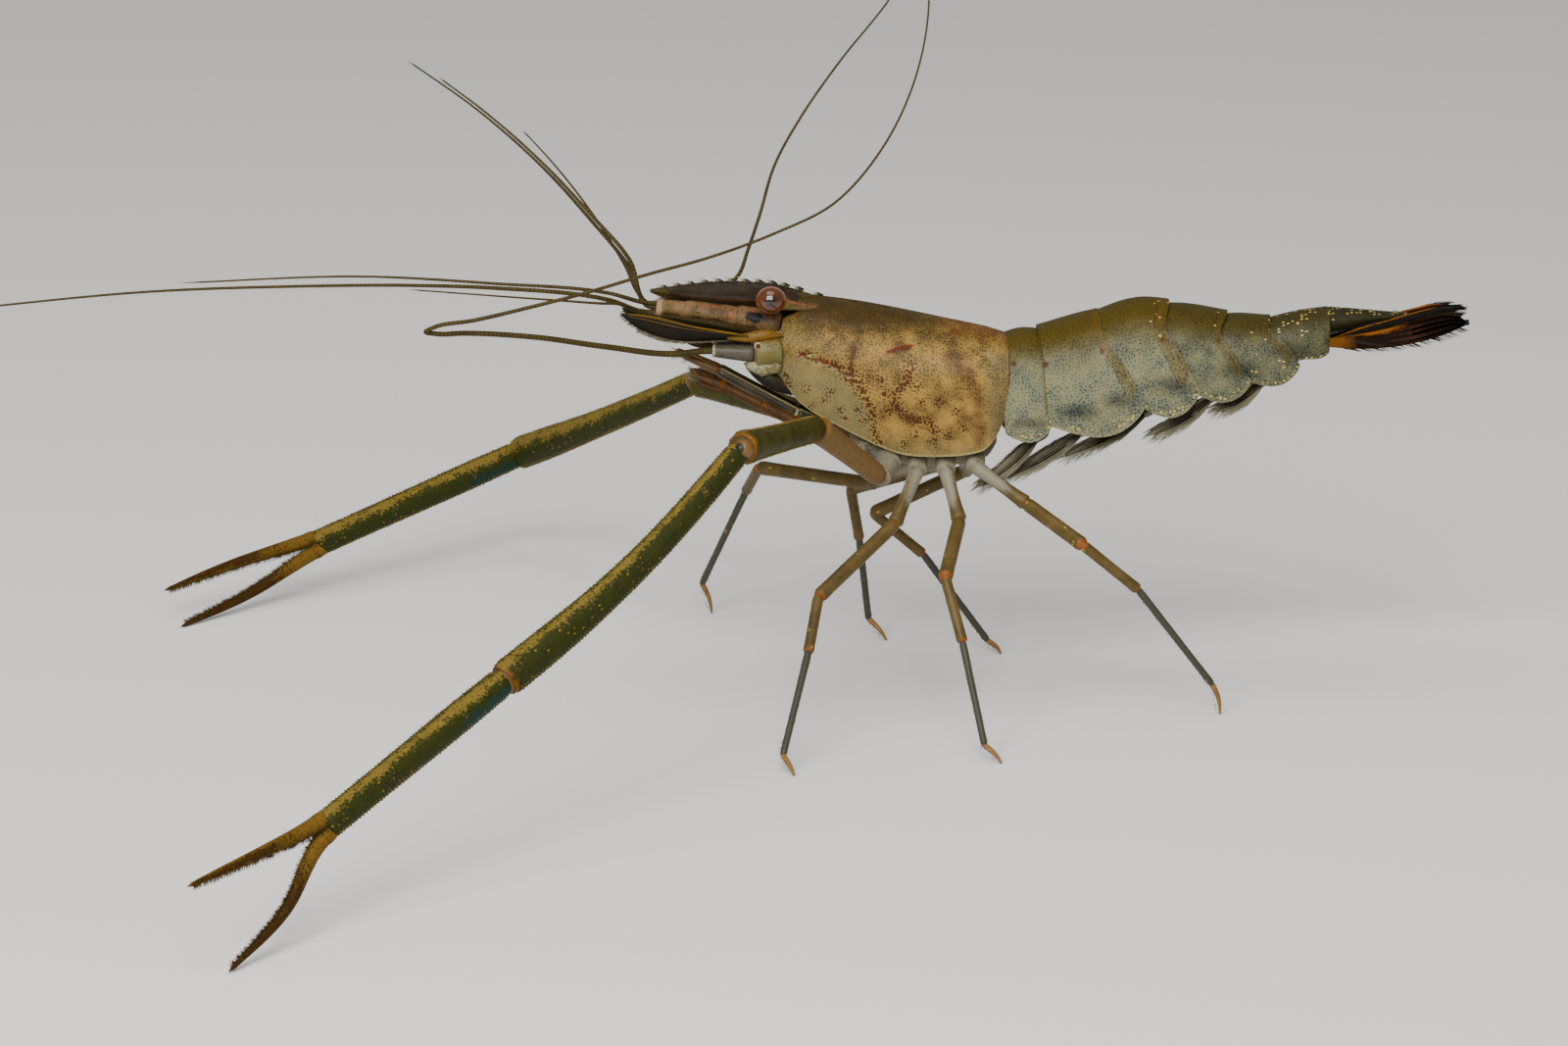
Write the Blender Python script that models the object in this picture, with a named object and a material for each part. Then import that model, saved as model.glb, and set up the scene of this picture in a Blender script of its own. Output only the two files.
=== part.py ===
# Oriental river prawn, a large male, life size, standing with its long second legs stretched forward.
# Named sizes are in millimetres. X runs back along the body, its left side faces -Y, and the floor is Z = 0.
# The body has its own frame, which leans a little to one side about a line along the body.

import math
import random

import bmesh
import bpy
from mathutils import Matrix, Vector

MM = 0.001
GAP = 0.3
OBJECT_NAME = "oriental_river_prawn"
ORIGIN = (33.3, 19.4, 0.0)
LEAN = math.radians(10.0)
LEAN_HEIGHT = 35.0
SIDES = (("left", -1), ("right", 1))

# Carapace outlines: X, then the height or half-width there
CARAPACE_FRONT = -24.9
CARAPACE_REAR = -0.3
CARAPACE_STEPS = 15
BACK_LINE = ((-24.9, 42.7), (-23.4, 44.2), (-20.7, 44.5), (-13.5, 43.5), (-2.8, 41.5), (-0.3, 40.8))
FLANK_LINE = ((-24.9, 39.0), (-20.0, 37.6), (-10.0, 35.6), (-0.3, 36.6))
FLANK_WIDTH = ((-24.9, 4.7), (-21.0, 5.7), (-14.0, 6.3), (-6.0, 6.6), (-0.3, 6.2))
MARGIN_LINE = ((-24.9, 36.4), (-22.4, 33.2), (-18.4, 30.8), (-12.2, 27.9), (-8.0, 27.4), (-2.8, 28.2),
               (-1.3, 29.6), (-0.3, 32.0))
MARGIN_WIDTH = ((-24.9, 3.9), (-18.0, 4.6), (-8.0, 4.9), (-0.3, 5.4))
CARAPACE_DROP = (0.25, 0.55, 0.85, 1.0)
CARAPACE_WALL = 0.8

# Rostrum: X, crest, side ridge, lower edge, half thickness at the ridge
ROSTRUM = ((-38.8, 45.4, 45.2, 45.0, 0.15), (-37.0, 45.6, 45.0, 44.2, 0.4), (-34.9, 45.9, 44.7, 42.9, 0.55),
           (-31.7, 46.2, 44.4, 41.9, 0.7), (-28.5, 46.2, 44.2, 41.8, 0.9), (-25.0, 45.9, 44.0, 42.0, 1.2),
           (-22.0, 45.1, 43.5, 42.4, 1.5), (-17.5, 43.7, 43.0, 42.4, 1.2))
ROSTRUM_EDGE = 0.28
TOOTH_FIRST = -37.2
TOOTH_PITCH = 1.49
TOOTH_COUNT = 12
TOOTH_LENGTH = 1.15
TOOTH_RADIUS = 0.3
TOOTH_SINK = 0.45
LOWER_TOOTH_PLACES = (-36.4, -34.9, -33.2)

# Side spines of the left half: root as X, distance from the middle, Z, then direction, length and radius
SIDE_SPINES = (((-24.4, 4.1, 40.7), (-1.0, 0.15, 0.0), 1.6, 0.35), ((-20.6, 5.3, 38.3), (-1.0, 0.35, 0.05), 1.7, 0.4))

# Abdomen: the six joints between its rings, X at the back, the hinge, the flank and the lower edge
JOINT_LEVELS = (0.0, 0.3, 0.6, 1.0)
JOINTS = ((0.0, 0.0, 0.0, 0.3), (3.6, 4.2, 4.4, 4.9), (9.7, 10.3, 12.4, 14.8), (17.5, 16.9, 18.6, 20.7),
          (23.9, 22.9, 24.2, 26.3), (28.5, 28.3, 30.2, 31.6), (35.0, 35.0, 35.0, 35.0))
ABDOMEN_BACK = ((0.0, 40.8), (3.6, 41.3), (9.7, 43.1), (15.3, 44.3), (23.9, 42.9), (28.5, 42.4), (35.0, 43.4))
ABDOMEN_FLANK = ((0.0, 36.4), (9.7, 38.2), (17.5, 39.4), (28.5, 39.6), (35.0, 41.0))
ABDOMEN_WIDTH = ((0.0, 6.1), (6.0, 6.6), (13.0, 6.4), (23.0, 5.1), (30.0, 3.9), (35.0, 3.0))
PLEURON_NOTCH = (30.0, 30.9, 33.2, 34.6, 35.6, 37.3, 38.9)
PLEURON_TIP = (29.0, 29.6, 31.7, 33.3, 35.0, 37.9)
PLEURON_TUCK = 0.86
PLEURON_WALL = 0.9
ABDOMEN_DROP = (0.22, 0.6, 1.0)
RING_SWELL = 0.25

# Underside between the legs
STERNUM_STATIONS = (5, 12)
STERNUM_TOP_WIDTH = 3.0
STERNUM_BOTTOM_WIDTH = 1.4
STERNUM_DEPTH = 2.4

# Head pieces in the body frame, given as X, distance from the middle, Z; the right eye is held a little lower
EYE_CENTRES = {-1: (-25.6, 4.7, 44.4), 1: (-25.5, 4.9, 43.6)}
EYE_RADIUS = 1.6
EYE_CUT = 0.9
STALK_ROOT = (-21.9, 2.0, 43.0)
STALK_RADIUS = 0.85
STALK_ROOM = 0.8
ANTENNULE_LINE = ((-25.2, 2.4, 41.6), (-28.0, 2.4, 42.2), (-31.5, 2.2, 42.8), (-35.0, 2.0, 43.1), (-38.1, 1.8, 43.4))
ANTENNULE_RADII = (1.35, 1.35, 1.1, 0.95, 0.85)
ANTENNA_LINE = ((-25.2, 4.0, 38.9), (-26.2, 4.2, 38.8), (-27.3, 4.4, 38.6), (-27.5, 4.4, 38.6), (-30.0, 4.45, 38.8),
                (-32.0, 4.5, 38.9))
ANTENNA_RADII = (1.6, 1.85, 1.7, 0.95, 0.85, 0.6)
SCALE_START = -27.8
SCALE_TIP = -42.0
SCALE_OUTER = ((-27.8, 5.7, 40.35), (-33.7, 6.5, 41.5), (-38.0, 6.2, 42.5), (-42.0, 5.3, 43.0))
SCALE_INNER = ((-27.8, 3.9, 40.3), (-30.5, 3.7, 40.0), (-36.0, 2.6, 39.9), (-40.0, 2.7, 41.2), (-42.0, 4.6, 42.9))
SCALE_THICKNESS = 0.6
MAXILLIPED_LINE = ((-18.25, 1.8, 30.3), (-18.7, 1.8, 30.3), (-20.3, 2.3, 30.9), (-22.8, 2.6, 32.0),
                   (-26.6, 2.8, 34.3), (-31.3, 3.0, 36.6), (-35.9, 3.0, 38.6))
MAXILLIPED_RADII = (0.8, 0.8, 0.9, 0.85, 0.75, 0.6, 0.3)

# Walking legs in the standing frame: joints from the basis to the tip, as X, Y, Z, for legs 3, 4 and 5
COXA_PLACES = {1: -15.6, 2: -12.8, 3: -9.7, 4: -6.6, 5: -3.4}
LEGS = {
    ("left", 3): ((-12.2, -10.0, 21.9), (-20.5, -18.0, 15.9), (-21.6, -22.5, 11.0), (-24.3, -30.0, 1.8),
                  (-23.1, -31.8, -0.2)),
    ("left", 4): ((-5.2, -9.0, 22.0), (-6.9, -18.5, 18.2), (-5.1, -22.0, 12.0), (-2.8, -26.3, 1.8),
                  (-1.0, -27.3, -0.2)),
    ("left", 5): ((2.1, -7.5, 23.5), (8.0, -14.0, 20.6), (14.1, -12.5, 15.2), (22.5, -9.0, 3.5),
                  (23.4, -8.8, -0.2)),
    ("right", 3): ((-14.6, 11.5, 20.8), (-27.0, 20.0, 20.4), (-28.5, 25.5, 16.2), (-33.6, 31.0, 3.8),
                   (-32.5, 31.7, -0.2)),
    ("right", 4): ((-9.5, 10.0, 22.6), (-16.7, 18.0, 18.5), (-15.7, 20.0, 12.1), (-14.6, 21.5, 2.3),
                   (-12.6, 20.4, -0.2)),
    ("right", 5): ((-4.1, 8.0, 23.2), (-14.2, 14.0, 16.7), (-8.6, 14.5, 11.8), (-1.3, 15.0, 1.6),
                   (0.2, 14.8, -0.2)),
}
COXA_LENGTH = 2.0
COXA_RADIUS = 1.15
# Radii at the coxa's end, then near the start, middle and end of each later length
LEG_RADII = ((0.85, 0.75, 0.75), (0.8, 0.85, 0.75), (0.6, 0.65, 0.6), (0.45, 0.42, 0.36), (0.33, 0.3, 0.25))

# Second legs: the ends of the basis, ischium, merus, carpus and palm, in the standing frame
CHELIPEDS = {
    "left": ((-13.9, -7.6, 26.6), (-20.7, -15.0, 33.8), (-28.6, -38.0, 37.5), (-52.5, -61.5, 19.3),
             (-69.2, -81.0, 10.2)),
    "right": ((-15.0, 7.5, 25.6), (-20.9, 15.0, 27.6), (-34.0, 28.0, 28.5), (-55.4, 56.0, 12.8),
              (-78.1, 40.0, 6.2)),
}
# Middle and tip of the fixed upper finger, then of the moving lower one, whose tip rests on the floor
FINGERS = {
    "left": (((-75.2, -88.0, 9.6), (-82.0, -95.0, 8.3)), ((-72.9, -88.6, 3.9), (-78.0, -96.7, -0.2))),
    "right": (((-87.7, 35.0, 5.0), (-95.3, 30.0, 3.2)), ((-85.6, 33.4, 2.0), (-93.1, 25.6, -0.2))),
}
CARPUS_BOW = {"left": (0.75, 0.0, -0.85), "right": (0.0, 0.0, -0.3)}
ARM_RADII = (1.3, 1.25, 1.35, 1.35, 1.5, 1.5, 1.6)
CARPUS_RADII = (1.35, 1.42, 1.5, 1.62, 1.85, 1.95)
PALM_RADII = (1.6, 1.6, 1.55, 1.5, 1.5)
FINGER_RADII = (0.75, 0.85, 0.85, 0.72, 0.6, 0.45, 0.22)
FINGER_OFFSET = 0.95
JOINT_REACH = 1.5

# Small spines in two rows along each length of the second legs
SPINULE_PITCH = {"arm": 2.6, "carpus": 2.4, "palm": 2.4}
SPINULE_LENGTH = 0.7
SPINULE_RADIUS = 0.25
SPINULE_SINK = 0.32

# First legs, slim, folded forward under the head, and the short finger of their small pincers
FIRST_LEG_LINE = ((-17.5, 4.3, 28.0), (-20.5, 5.0, 30.0), (-26.6, 4.7, 33.0), (-31.0, 4.3, 35.1), (-34.2, 4.0, 36.2))
FIRST_LEG_RADII = (0.75, 0.7, 0.6, 0.6, 0.3)
FIRST_LEG_ROOT = (1.4, 0.9, 0.85)
FIRST_FINGER_LINE = ((-30.4, 4.4, 34.4), (-31.7, 4.55, 34.65), (-33.9, 4.4, 35.5))
FIRST_FINGER_RADII = (0.35, 0.32, 0.22)

# Feelers in the standing frame, as points that each one passes after it leaves its stem
FEELERS = {
    "antenna_feeler_1_left": ((-35.7, -4.6, 39.5), (-43.4, -8.0, 41.1), (-50.9, -11.5, 43.0), (-58.4, -13.9, 44.0)),
    "antenna_feeler_2_left": ((-61.3, -14.8, 44.15), (-62.4, -15.2, 44.45), (-61.6, -15.6, 45.0),
                              (-57.3, -15.2, 45.7), (-50.8, -13.6, 46.9), (-46.5, -12.6, 47.8), (-38.3, -10.5, 49.8),
                              (-32.6, -9.2, 51.1), (-25.2, -8.0, 53.6), (-18.9, -6.5, 56.5), (-13.7, -5.5, 62.3),
                              (-10.5, -5.0, 68.8), (-8.7, -5.0, 79.5), (-11.2, -5.0, 91.1)),
    "antenna_feeler_1_right": ((-34.8, 6.3, 38.4), (-35.4, 8.4, 39.5), (-34.2, 10.2, 41.1), (-31.6, 11.7, 42.4),
                               (-29.2, 12.3, 44.4), (-28.2, 12.9, 47.0)),
    "antenna_feeler_2_right": ((-26.9, 14.0, 50.7), (-25.3, 16.0, 55.8), (-22.0, 18.0, 61.5),
                               (-18.2, 20.0, 66.6), (-12.2, 24.0, 73.5), (-6.2, 30.0, 84.1)),
    "antennule_feeler_outer_left": ((-43.1, -2.6, 45.0), (-55.6, -5.0, 46.9), (-64.3, -6.8, 47.6),
                                    (-76.8, -9.0, 48.0), (-92.3, -12.0, 48.1), (-107.7, -15.0, 47.3),
                                    (-116.9, -17.0, 46.7)),
    "antennule_feeler_inner_left": ((-43.1, -1.1, 45.4), (-55.7, -2.0, 46.7), (-68.8, -2.6, 47.6),
                                    (-89.9, -3.5, 47.1)),
    "antennule_feeler_outer_right": ((-41.3, 4.2, 47.4), (-45.6, 6.4, 52.2), (-49.9, 8.4, 56.6),
                                     (-57.5, 10.9, 63.0), (-65.6, 13.0, 68.4)),
    "antennule_feeler_inner_right": ((-41.0, 2.8, 48.2), (-45.3, 4.4, 53.0), (-49.6, 6.0, 57.4),
                                     (-57.0, 8.6, 63.6), (-62.0, 10.4, 67.0)),
}
# The short third strand of each antennule, which leaves its outer feeler near the root
FEELER_BRANCHES = {
    "antennule_feeler_outer_left": ((-42.2, -2.7, 44.6), (-44.0, -4.2, 45.0), (-48.2, -6.3, 45.8), (-54.0, -7.9, 46.6),
                                    (-64.6, -10.4, 48.0)),
    "antennule_feeler_outer_right": ((-41.6, 5.9, 46.9), (-45.6, 8.9, 52.6), (-49.9, 12.0, 57.4), (-53.0, 13.8, 60.4)),
}
BRANCH_START = 5
BRANCH_RADIUS = 0.3
ANTENNA_RADIUS = 0.4
ANTENNA_MIDDLE_RADIUS = 0.36
ANTENNULE_FEELER_RADIUS = 0.36
FEELER_TIP = 0.1
FEELER_SPREAD = {"left": (0.0, 0.0, -0.55), "right": (0.0, 0.55, 0.0)}
FEELER_LEAD = 0.6

# Tail fan: the telson as X, middle height, half-width and half-height, then each blade of the left side
# as X, distance from the middle and height of its outer edge, and the same of its inner edge
TELSON = ((35.3, 42.0, 2.3, 1.6), (37.0, 42.05, 2.2, 1.3), (40.0, 42.3, 1.8, 0.8), (42.5, 42.4, 1.3, 0.5),
          (43.9, 42.4, 0.8, 0.35), (44.3, 42.4, 0.4, 0.2))
UROPOD_INNER = ((35.4, 2.0, 39.9, 0.5, 39.8), (38.0, 2.7, 41.0, 0.6, 40.1), (41.0, 3.3, 41.9, 0.8, 40.9),
                (44.0, 3.5, 42.8, 1.0, 41.7), (47.0, 3.2, 43.5, 1.2, 42.5), (48.6, 2.8, 43.6, 1.6, 43.0),
                (49.3, 2.4, 43.6, 2.0, 43.3))
UROPOD_OUTER = ((35.4, 3.2, 39.2, 2.35, 39.4), (38.0, 4.4, 39.1, 3.1, 40.4), (41.0, 5.4, 39.3, 3.7, 41.2),
                (44.0, 5.8, 39.8, 4.0, 42.0), (47.0, 5.6, 40.6, 3.8, 42.7), (49.3, 5.2, 41.4, 3.9, 42.8),
                (50.3, 4.8, 41.8, 4.2, 42.4))
UROPOD_THICKNESS = 0.5
# How much deeper than a plain leaf the stout base of each outer blade is, at its stations
UROPOD_BELLY = (0.8, 0.6, 0.15, 0.0, 0.0, 0.0, 0.0)
UROPOD_RIDGES = {"inner": (0.3, 0.65), "outer": (0.25, 0.6)}
SCALE_RIDGE = 0.1

# Swimming legs under the first five rings: how far forward and down their tips reach, and their two leaves
# as distance from the middle, share of the reach, and half-width
PLEOPOD_REACH = ((-6.5, -5.4), (-9.0, -5.2), (-9.0, -4.8), (-6.5, -4.0), (-5.0, -3.0))
PLEOPOD_STEM_PLACE = 2.4
PLEOPOD_STEM_WIDTH = 0.9
PLEOPOD_LEAVES = ((3.2, 1.0, 0.75), (1.5, 0.8, 0.65))
PLEOPOD_THICKNESS = 0.7


def clear_scene():
    for old in list(bpy.data.objects):
        bpy.data.objects.remove(old, do_unlink=True)


def finish(name, colour, roughness):
    """A Principled material with a colour from 0 to 1 and a roughness."""
    material = bpy.data.materials.new(name)
    material.use_nodes = True
    shader = material.node_tree.nodes["Principled BSDF"]
    shader.inputs["Base Color"].default_value = (*colour, 1.0)
    shader.inputs["Roughness"].default_value = roughness
    shader.inputs["Metallic"].default_value = 0.0
    material.diffuse_color = (*colour, 1.0)
    return material


def read(line, x):
    """The smooth value at x of a line that passes through its stations (x, value)."""
    if x <= line[0][0]:
        return line[0][1]
    if x >= line[-1][0]:
        return line[-1][1]
    at = max(i for i in range(len(line) - 1) if line[i][0] <= x)

    def slope(i):
        before, after = max(i - 1, 0), min(i + 1, len(line) - 1)
        return (line[after][1] - line[before][1]) / (line[after][0] - line[before][0])

    span = line[at + 1][0] - line[at][0]
    t = (x - line[at][0]) / span
    rise = line[at + 1][1] - line[at][1]
    start, end = slope(at) * span, slope(at + 1) * span
    return line[at][1] + t * (start + t * (3 * rise - 2 * start - end + t * (start + end - 2 * rise)))


def column(table, index):
    return [(row[0], row[index]) for row in table]


def mix(a, b, t):
    return a + (b - a) * t


def lean(point):
    """A body point's place in the standing frame."""
    x, y, z = point
    height = z - LEAN_HEIGHT
    return Vector((x, y * math.cos(LEAN) + height * math.sin(LEAN),
                   LEAN_HEIGHT - y * math.sin(LEAN) + height * math.cos(LEAN)))


def mirrored(point, side):
    """A point given as X, distance from the middle, Z, on the left (-1) or right (1) side."""
    return Vector((point[0], point[1] * side, point[2]))


def smooth_path(points, steps):
    """Points on a smooth curve through the given ones, with a number of steps between each pair."""
    spans = [(b - a).length for a, b in zip(points, points[1:])]
    ways = [(b - a) / span for a, b, span in zip(points, points[1:], spans)]
    turns = [ways[0]]
    for i in range(1, len(ways)):
        turns.append((ways[i] * spans[i - 1] + ways[i - 1] * spans[i]) / (spans[i - 1] + spans[i]))
    turns.append(ways[-1])
    path = []
    for i, span in enumerate(spans):
        for step in range(steps):
            t = step / steps
            path.append(points[i] * (1 - 3 * t * t + 2 * t ** 3) + points[i + 1] * (3 * t * t - 2 * t ** 3)
                        + turns[i] * span * t * (1 - t) ** 2 - turns[i + 1] * span * t * t * (1 - t))
    return path + [points[-1]]


def new_object(name, mesh, material):
    thing = bpy.data.objects.new(name, mesh)
    mesh.materials.append(material)
    bpy.context.scene.collection.objects.link(thing)
    return thing


def mesh_object(name, shape, material):
    """An object from a bmesh in millimetres, with its faces pointing out."""
    bmesh.ops.recalc_face_normals(shape, faces=shape.faces)
    bmesh.ops.scale(shape, vec=(MM, MM, MM), verts=shape.verts)
    mesh = bpy.data.meshes.new(name)
    shape.to_mesh(mesh)
    shape.free()
    mesh.shade_smooth()
    mesh.set_sharp_from_angle(angle=math.radians(40))
    return new_object(name, mesh, material)


def loft(name, rings, material, caps=None):
    """A closed skin over rings of points, with each end filled by one face or by the caps' faces."""
    shape = bmesh.new()
    rows = [[shape.verts.new(point) for point in ring] for ring in rings]
    count = len(rings[0])
    for first, second in zip(rows, rows[1:]):
        for i in range(count):
            j = (i + 1) % count
            shape.faces.new((first[i], first[j], second[j], second[i]))
    for row in (rows[0], rows[-1]):
        for face in caps or [range(count)]:
            shape.faces.new([row[i] for i in face])
    return mesh_object(name, shape, material)


def tube(name, points, radii, material, resolution=2):
    """A round limb along points, as a closed mesh, from a curve with a radius at each point."""
    curve = bpy.data.curves.new(name, "CURVE")
    curve.dimensions = "3D"
    curve.bevel_depth = MM
    curve.bevel_resolution = resolution
    curve.resolution_u = 1
    curve.render_resolution_u = 0
    curve.use_fill_caps = True
    spline = curve.splines.new("POLY")
    spline.points.add(len(points) - 1)
    for target, point, radius in zip(spline.points, points, radii):
        target.co = (*(Vector(point) * MM), 1.0)
        target.radius = radius
    guide = bpy.data.objects.new(name, curve)
    bpy.context.scene.collection.objects.link(guide)
    mesh = bpy.data.meshes.new_from_object(guide.evaluated_get(bpy.context.evaluated_depsgraph_get()))
    bpy.data.objects.remove(guide, do_unlink=True)
    shape = bmesh.new()
    shape.from_mesh(mesh)
    bpy.data.meshes.remove(mesh)
    bmesh.ops.remove_doubles(shape, verts=shape.verts, dist=0.00001)
    bmesh.ops.scale(shape, vec=(1 / MM,) * 3, verts=shape.verts)
    return mesh_object(name, shape, material)


def trim(thing, point, normal):
    """Cut off what lies beyond a plane, and close the cut."""
    shape = bmesh.new()
    shape.from_mesh(thing.data)
    geometry = shape.verts[:] + shape.edges[:] + shape.faces[:]
    cut = bmesh.ops.bisect_plane(shape, geom=geometry, dist=1e-7, plane_co=Vector(point) * MM,
                                 plane_no=Vector(normal), clear_outer=True)
    edges = [item for item in cut["geom_cut"] if isinstance(item, bmesh.types.BMEdge)]
    bmesh.ops.edgeloop_fill(shape, edges=edges)
    bmesh.ops.recalc_face_normals(shape, faces=shape.faces)
    shape.to_mesh(thing.data)
    shape.free()
    return thing


def spike(root, direction, length, radius, material, sides=5):
    """A small pointed cone that stands on its root point."""
    shape = bmesh.new()
    direction = Vector(direction).normalized()
    bmesh.ops.create_cone(shape, cap_ends=True, segments=sides, radius1=radius, radius2=radius * 0.15,
                          depth=length)
    turn = direction.to_track_quat("Z", "Y").to_matrix().to_4x4()
    place = Matrix.Translation(Vector(root) + direction * length / 2) @ turn
    bmesh.ops.transform(shape, matrix=place, verts=shape.verts)
    return mesh_object("spike", shape, material)


def keep_largest(thing):
    """Keep only the largest closed surface of a mesh."""
    shape = bmesh.new()
    shape.from_mesh(thing.data)
    left = set(shape.verts)
    groups = []
    while left:
        group, edge = set(), [left.pop()]
        while edge:
            vert = edge.pop()
            group.add(vert)
            near = {link.other_vert(vert) for link in vert.link_edges} & left
            left -= near
            edge.extend(near)
        groups.append(group)
    groups.sort(key=len)
    loose = [vert for group in groups[:-1] for vert in group]
    bmesh.ops.delete(shape, geom=loose, context="VERTS")
    shape.to_mesh(thing.data)
    shape.free()


def boolean(base, pieces, operation):
    """Join or cut a mesh with a collection of closed ones, which are then removed."""
    group = bpy.data.collections.new("pieces")
    bpy.context.scene.collection.children.link(group)
    for piece in pieces:
        bpy.context.scene.collection.objects.unlink(piece)
        group.objects.link(piece)
    modifier = base.modifiers.new("join", "BOOLEAN")
    modifier.operation = operation
    modifier.operand_type = "COLLECTION"
    modifier.collection = group
    modifier.solver = "MANIFOLD"
    mesh = bpy.data.meshes.new_from_object(base.evaluated_get(bpy.context.evaluated_depsgraph_get()))
    base.modifiers.clear()
    base.data = mesh
    for piece in pieces:
        bpy.data.objects.remove(piece, do_unlink=True)
    bpy.data.collections.remove(group)
    keep_largest(base)
    return base


def plate_side(back, flank, wide, tip, tip_wide, drops, belly, wall):
    """Half the cross-section of a shell plate: its outside from beside the back to the tip, then inside."""
    outer = []
    for step in range(1, 7):
        angle = math.radians(15 * step)
        outer.append((wide * math.sin(angle), flank + (back - flank) * math.cos(angle)))
    for drop in drops:
        outer.append((wide - (wide - tip_wide) * drop * drop, flank - (flank - tip) * drop))
    first_inner = 6 + belly
    inner = [(y - wall * (1.0 if i < len(outer) - first_inner - 1 else 0.6), z)
             for i, (y, z) in enumerate(outer[first_inner:])]
    return outer + inner[::-1]


def plate_ring(half, back, place):
    """A full ring of points from half a section; place gives X for a height fraction below the back."""
    low = min(z for y, z in half)

    def point(y, z):
        return Vector((place((back - z) / (back - low)), y, z))

    return [point(0.0, back)] + [point(y, z) for y, z in half] + [point(-y, z) for y, z in reversed(half)]


def plate_caps(count, belly, drops):
    """The faces that close a plate ring's end: strips across it, and the two walls below the belly."""
    right = list(range(1, count + 1))
    left = list(range(2 * count, count, -1))
    corner = 6 + belly
    faces = [(0, right[0], left[0])]
    for i in range(corner - 1):
        faces.append((right[i], right[i + 1], left[i + 1], left[i]))
    faces.append((right[corner - 1], right[corner], right[-1], left[-1], left[corner], left[corner - 1]))
    for side in (right, left):
        for i in range(drops - 1 - belly):
            faces.append((side[corner + i], side[corner + i + 1], side[-2 - i], side[-1 - i]))
    return faces


def carapace_floor(x):
    """The height of the carapace's flat underside between its lower margins."""
    flank, tip = read(FLANK_LINE, x), read(MARGIN_LINE, x)
    return flank - (flank - tip) * CARAPACE_DROP[2]


def carapace_ring(x):
    back = read(BACK_LINE, x)
    half = plate_side(back, read(FLANK_LINE, x), read(FLANK_WIDTH, x), read(MARGIN_LINE, x),
                      read(MARGIN_WIDTH, x), CARAPACE_DROP, 2, CARAPACE_WALL)
    return plate_ring(half, back, lambda level: x)


def make_rostrum(material):
    """A thin upright blade with a ridge along each side."""
    rings = []
    for x, crest, ridge, low, half in ROSTRUM:
        edge = min(ROSTRUM_EDGE, half)
        rings.append([Vector((x, edge, crest)), Vector((x, half, ridge)), Vector((x, edge, low)),
                      Vector((x, -edge, low)), Vector((x, -half, ridge)), Vector((x, -edge, crest))])
    return loft("rostrum", rings, material)


def rostrum_teeth(material):
    """Saw teeth along the crest and on the carapace behind it, and three along the lower edge."""
    random.seed(5)
    teeth = []
    for i in range(TOOTH_COUNT):
        x = TOOTH_FIRST + i * TOOTH_PITCH + random.uniform(-0.1, 0.1)
        height = max(read(column(ROSTRUM, 1), x), read(BACK_LINE, x)) - TOOTH_SINK
        length = TOOTH_LENGTH * random.uniform(0.92, 1.08)
        teeth.append(spike((x + 0.25, 0, height), (-0.75, 0, 1), length, TOOTH_RADIUS, material))
    for x in LOWER_TOOTH_PLACES:
        height = read(column(ROSTRUM, 3), x) + TOOTH_SINK
        teeth.append(spike((x + 0.3, 0, height), (-0.9, 0, -1), TOOTH_LENGTH, TOOTH_RADIUS, material))
    return teeth


def side_spines(material):
    """The antennal and the hepatic spine on each side of the head."""
    return [spike(mirrored(root, side), mirrored(way, side), length, radius, material)
            for name, side in SIDES for root, way, length, radius in SIDE_SPINES]


def carapace_stations():
    """X of the carapace's cross-sections, closer together at its two ends."""
    span = CARAPACE_REAR - CARAPACE_FRONT
    return [CARAPACE_FRONT + span * 0.5 * (1 - math.cos(math.pi * i / (CARAPACE_STEPS - 1)))
            for i in range(CARAPACE_STEPS)]


def make_carapace(material):
    rings = [carapace_ring(x) for x in carapace_stations()]
    count = (len(rings[0]) - 1) // 2
    shell = loft("carapace", rings, material, plate_caps(count, 2, len(CARAPACE_DROP)))
    pieces = [make_rostrum(material)] + rostrum_teeth(material) + side_spines(material)
    boolean(shell, pieces, "UNION")
    hollows = []
    for name, side in SIDES:
        hollows.append(eye_ball("eye_room", side, material, GAP))
        hollows.append(stalk_tube("stalk_room", side, material, GAP, STALK_ROOM))
    return boolean(shell, hollows, "DIFFERENCE")


def make_sternum(material):
    rings = []
    first, last = STERNUM_STATIONS
    for x in carapace_stations()[first:last + 1]:
        top = carapace_floor(x) - GAP
        rings.append([Vector((x, y, z)) for y, z in (
            (STERNUM_TOP_WIDTH, top), (STERNUM_BOTTOM_WIDTH, top - STERNUM_DEPTH),
            (-STERNUM_BOTTOM_WIDTH, top - STERNUM_DEPTH), (-STERNUM_TOP_WIDTH, top))])
    return loft("underside", rings, material)


def eye_ball(name, side, material, grow=0.0):
    shape = bmesh.new()
    bmesh.ops.create_uvsphere(shape, u_segments=14, v_segments=9, radius=EYE_RADIUS + grow)
    bmesh.ops.translate(shape, vec=eye_centre(side), verts=shape.verts)
    return mesh_object(name, shape, material)


def eye_centre(side):
    return mirrored(EYE_CENTRES[side], side)


def stalk_direction(side):
    return (eye_centre(side) - mirrored(STALK_ROOT, side)).normalized()


def stalk_tube(name, side, material, grow=0.0, start=0.0):
    root, centre = mirrored(STALK_ROOT, side), eye_centre(side)
    way = stalk_direction(side)
    end = centre - way * (EYE_CUT + GAP - grow)
    points = [root - way * start, mix(root, end, 0.5), mix(root, end, 0.8), end]
    radii = [STALK_RADIUS + grow, STALK_RADIUS + grow, STALK_RADIUS * 1.3 + grow, STALK_RADIUS * 1.5 + grow]
    return tube(name, points, radii, material)


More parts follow.
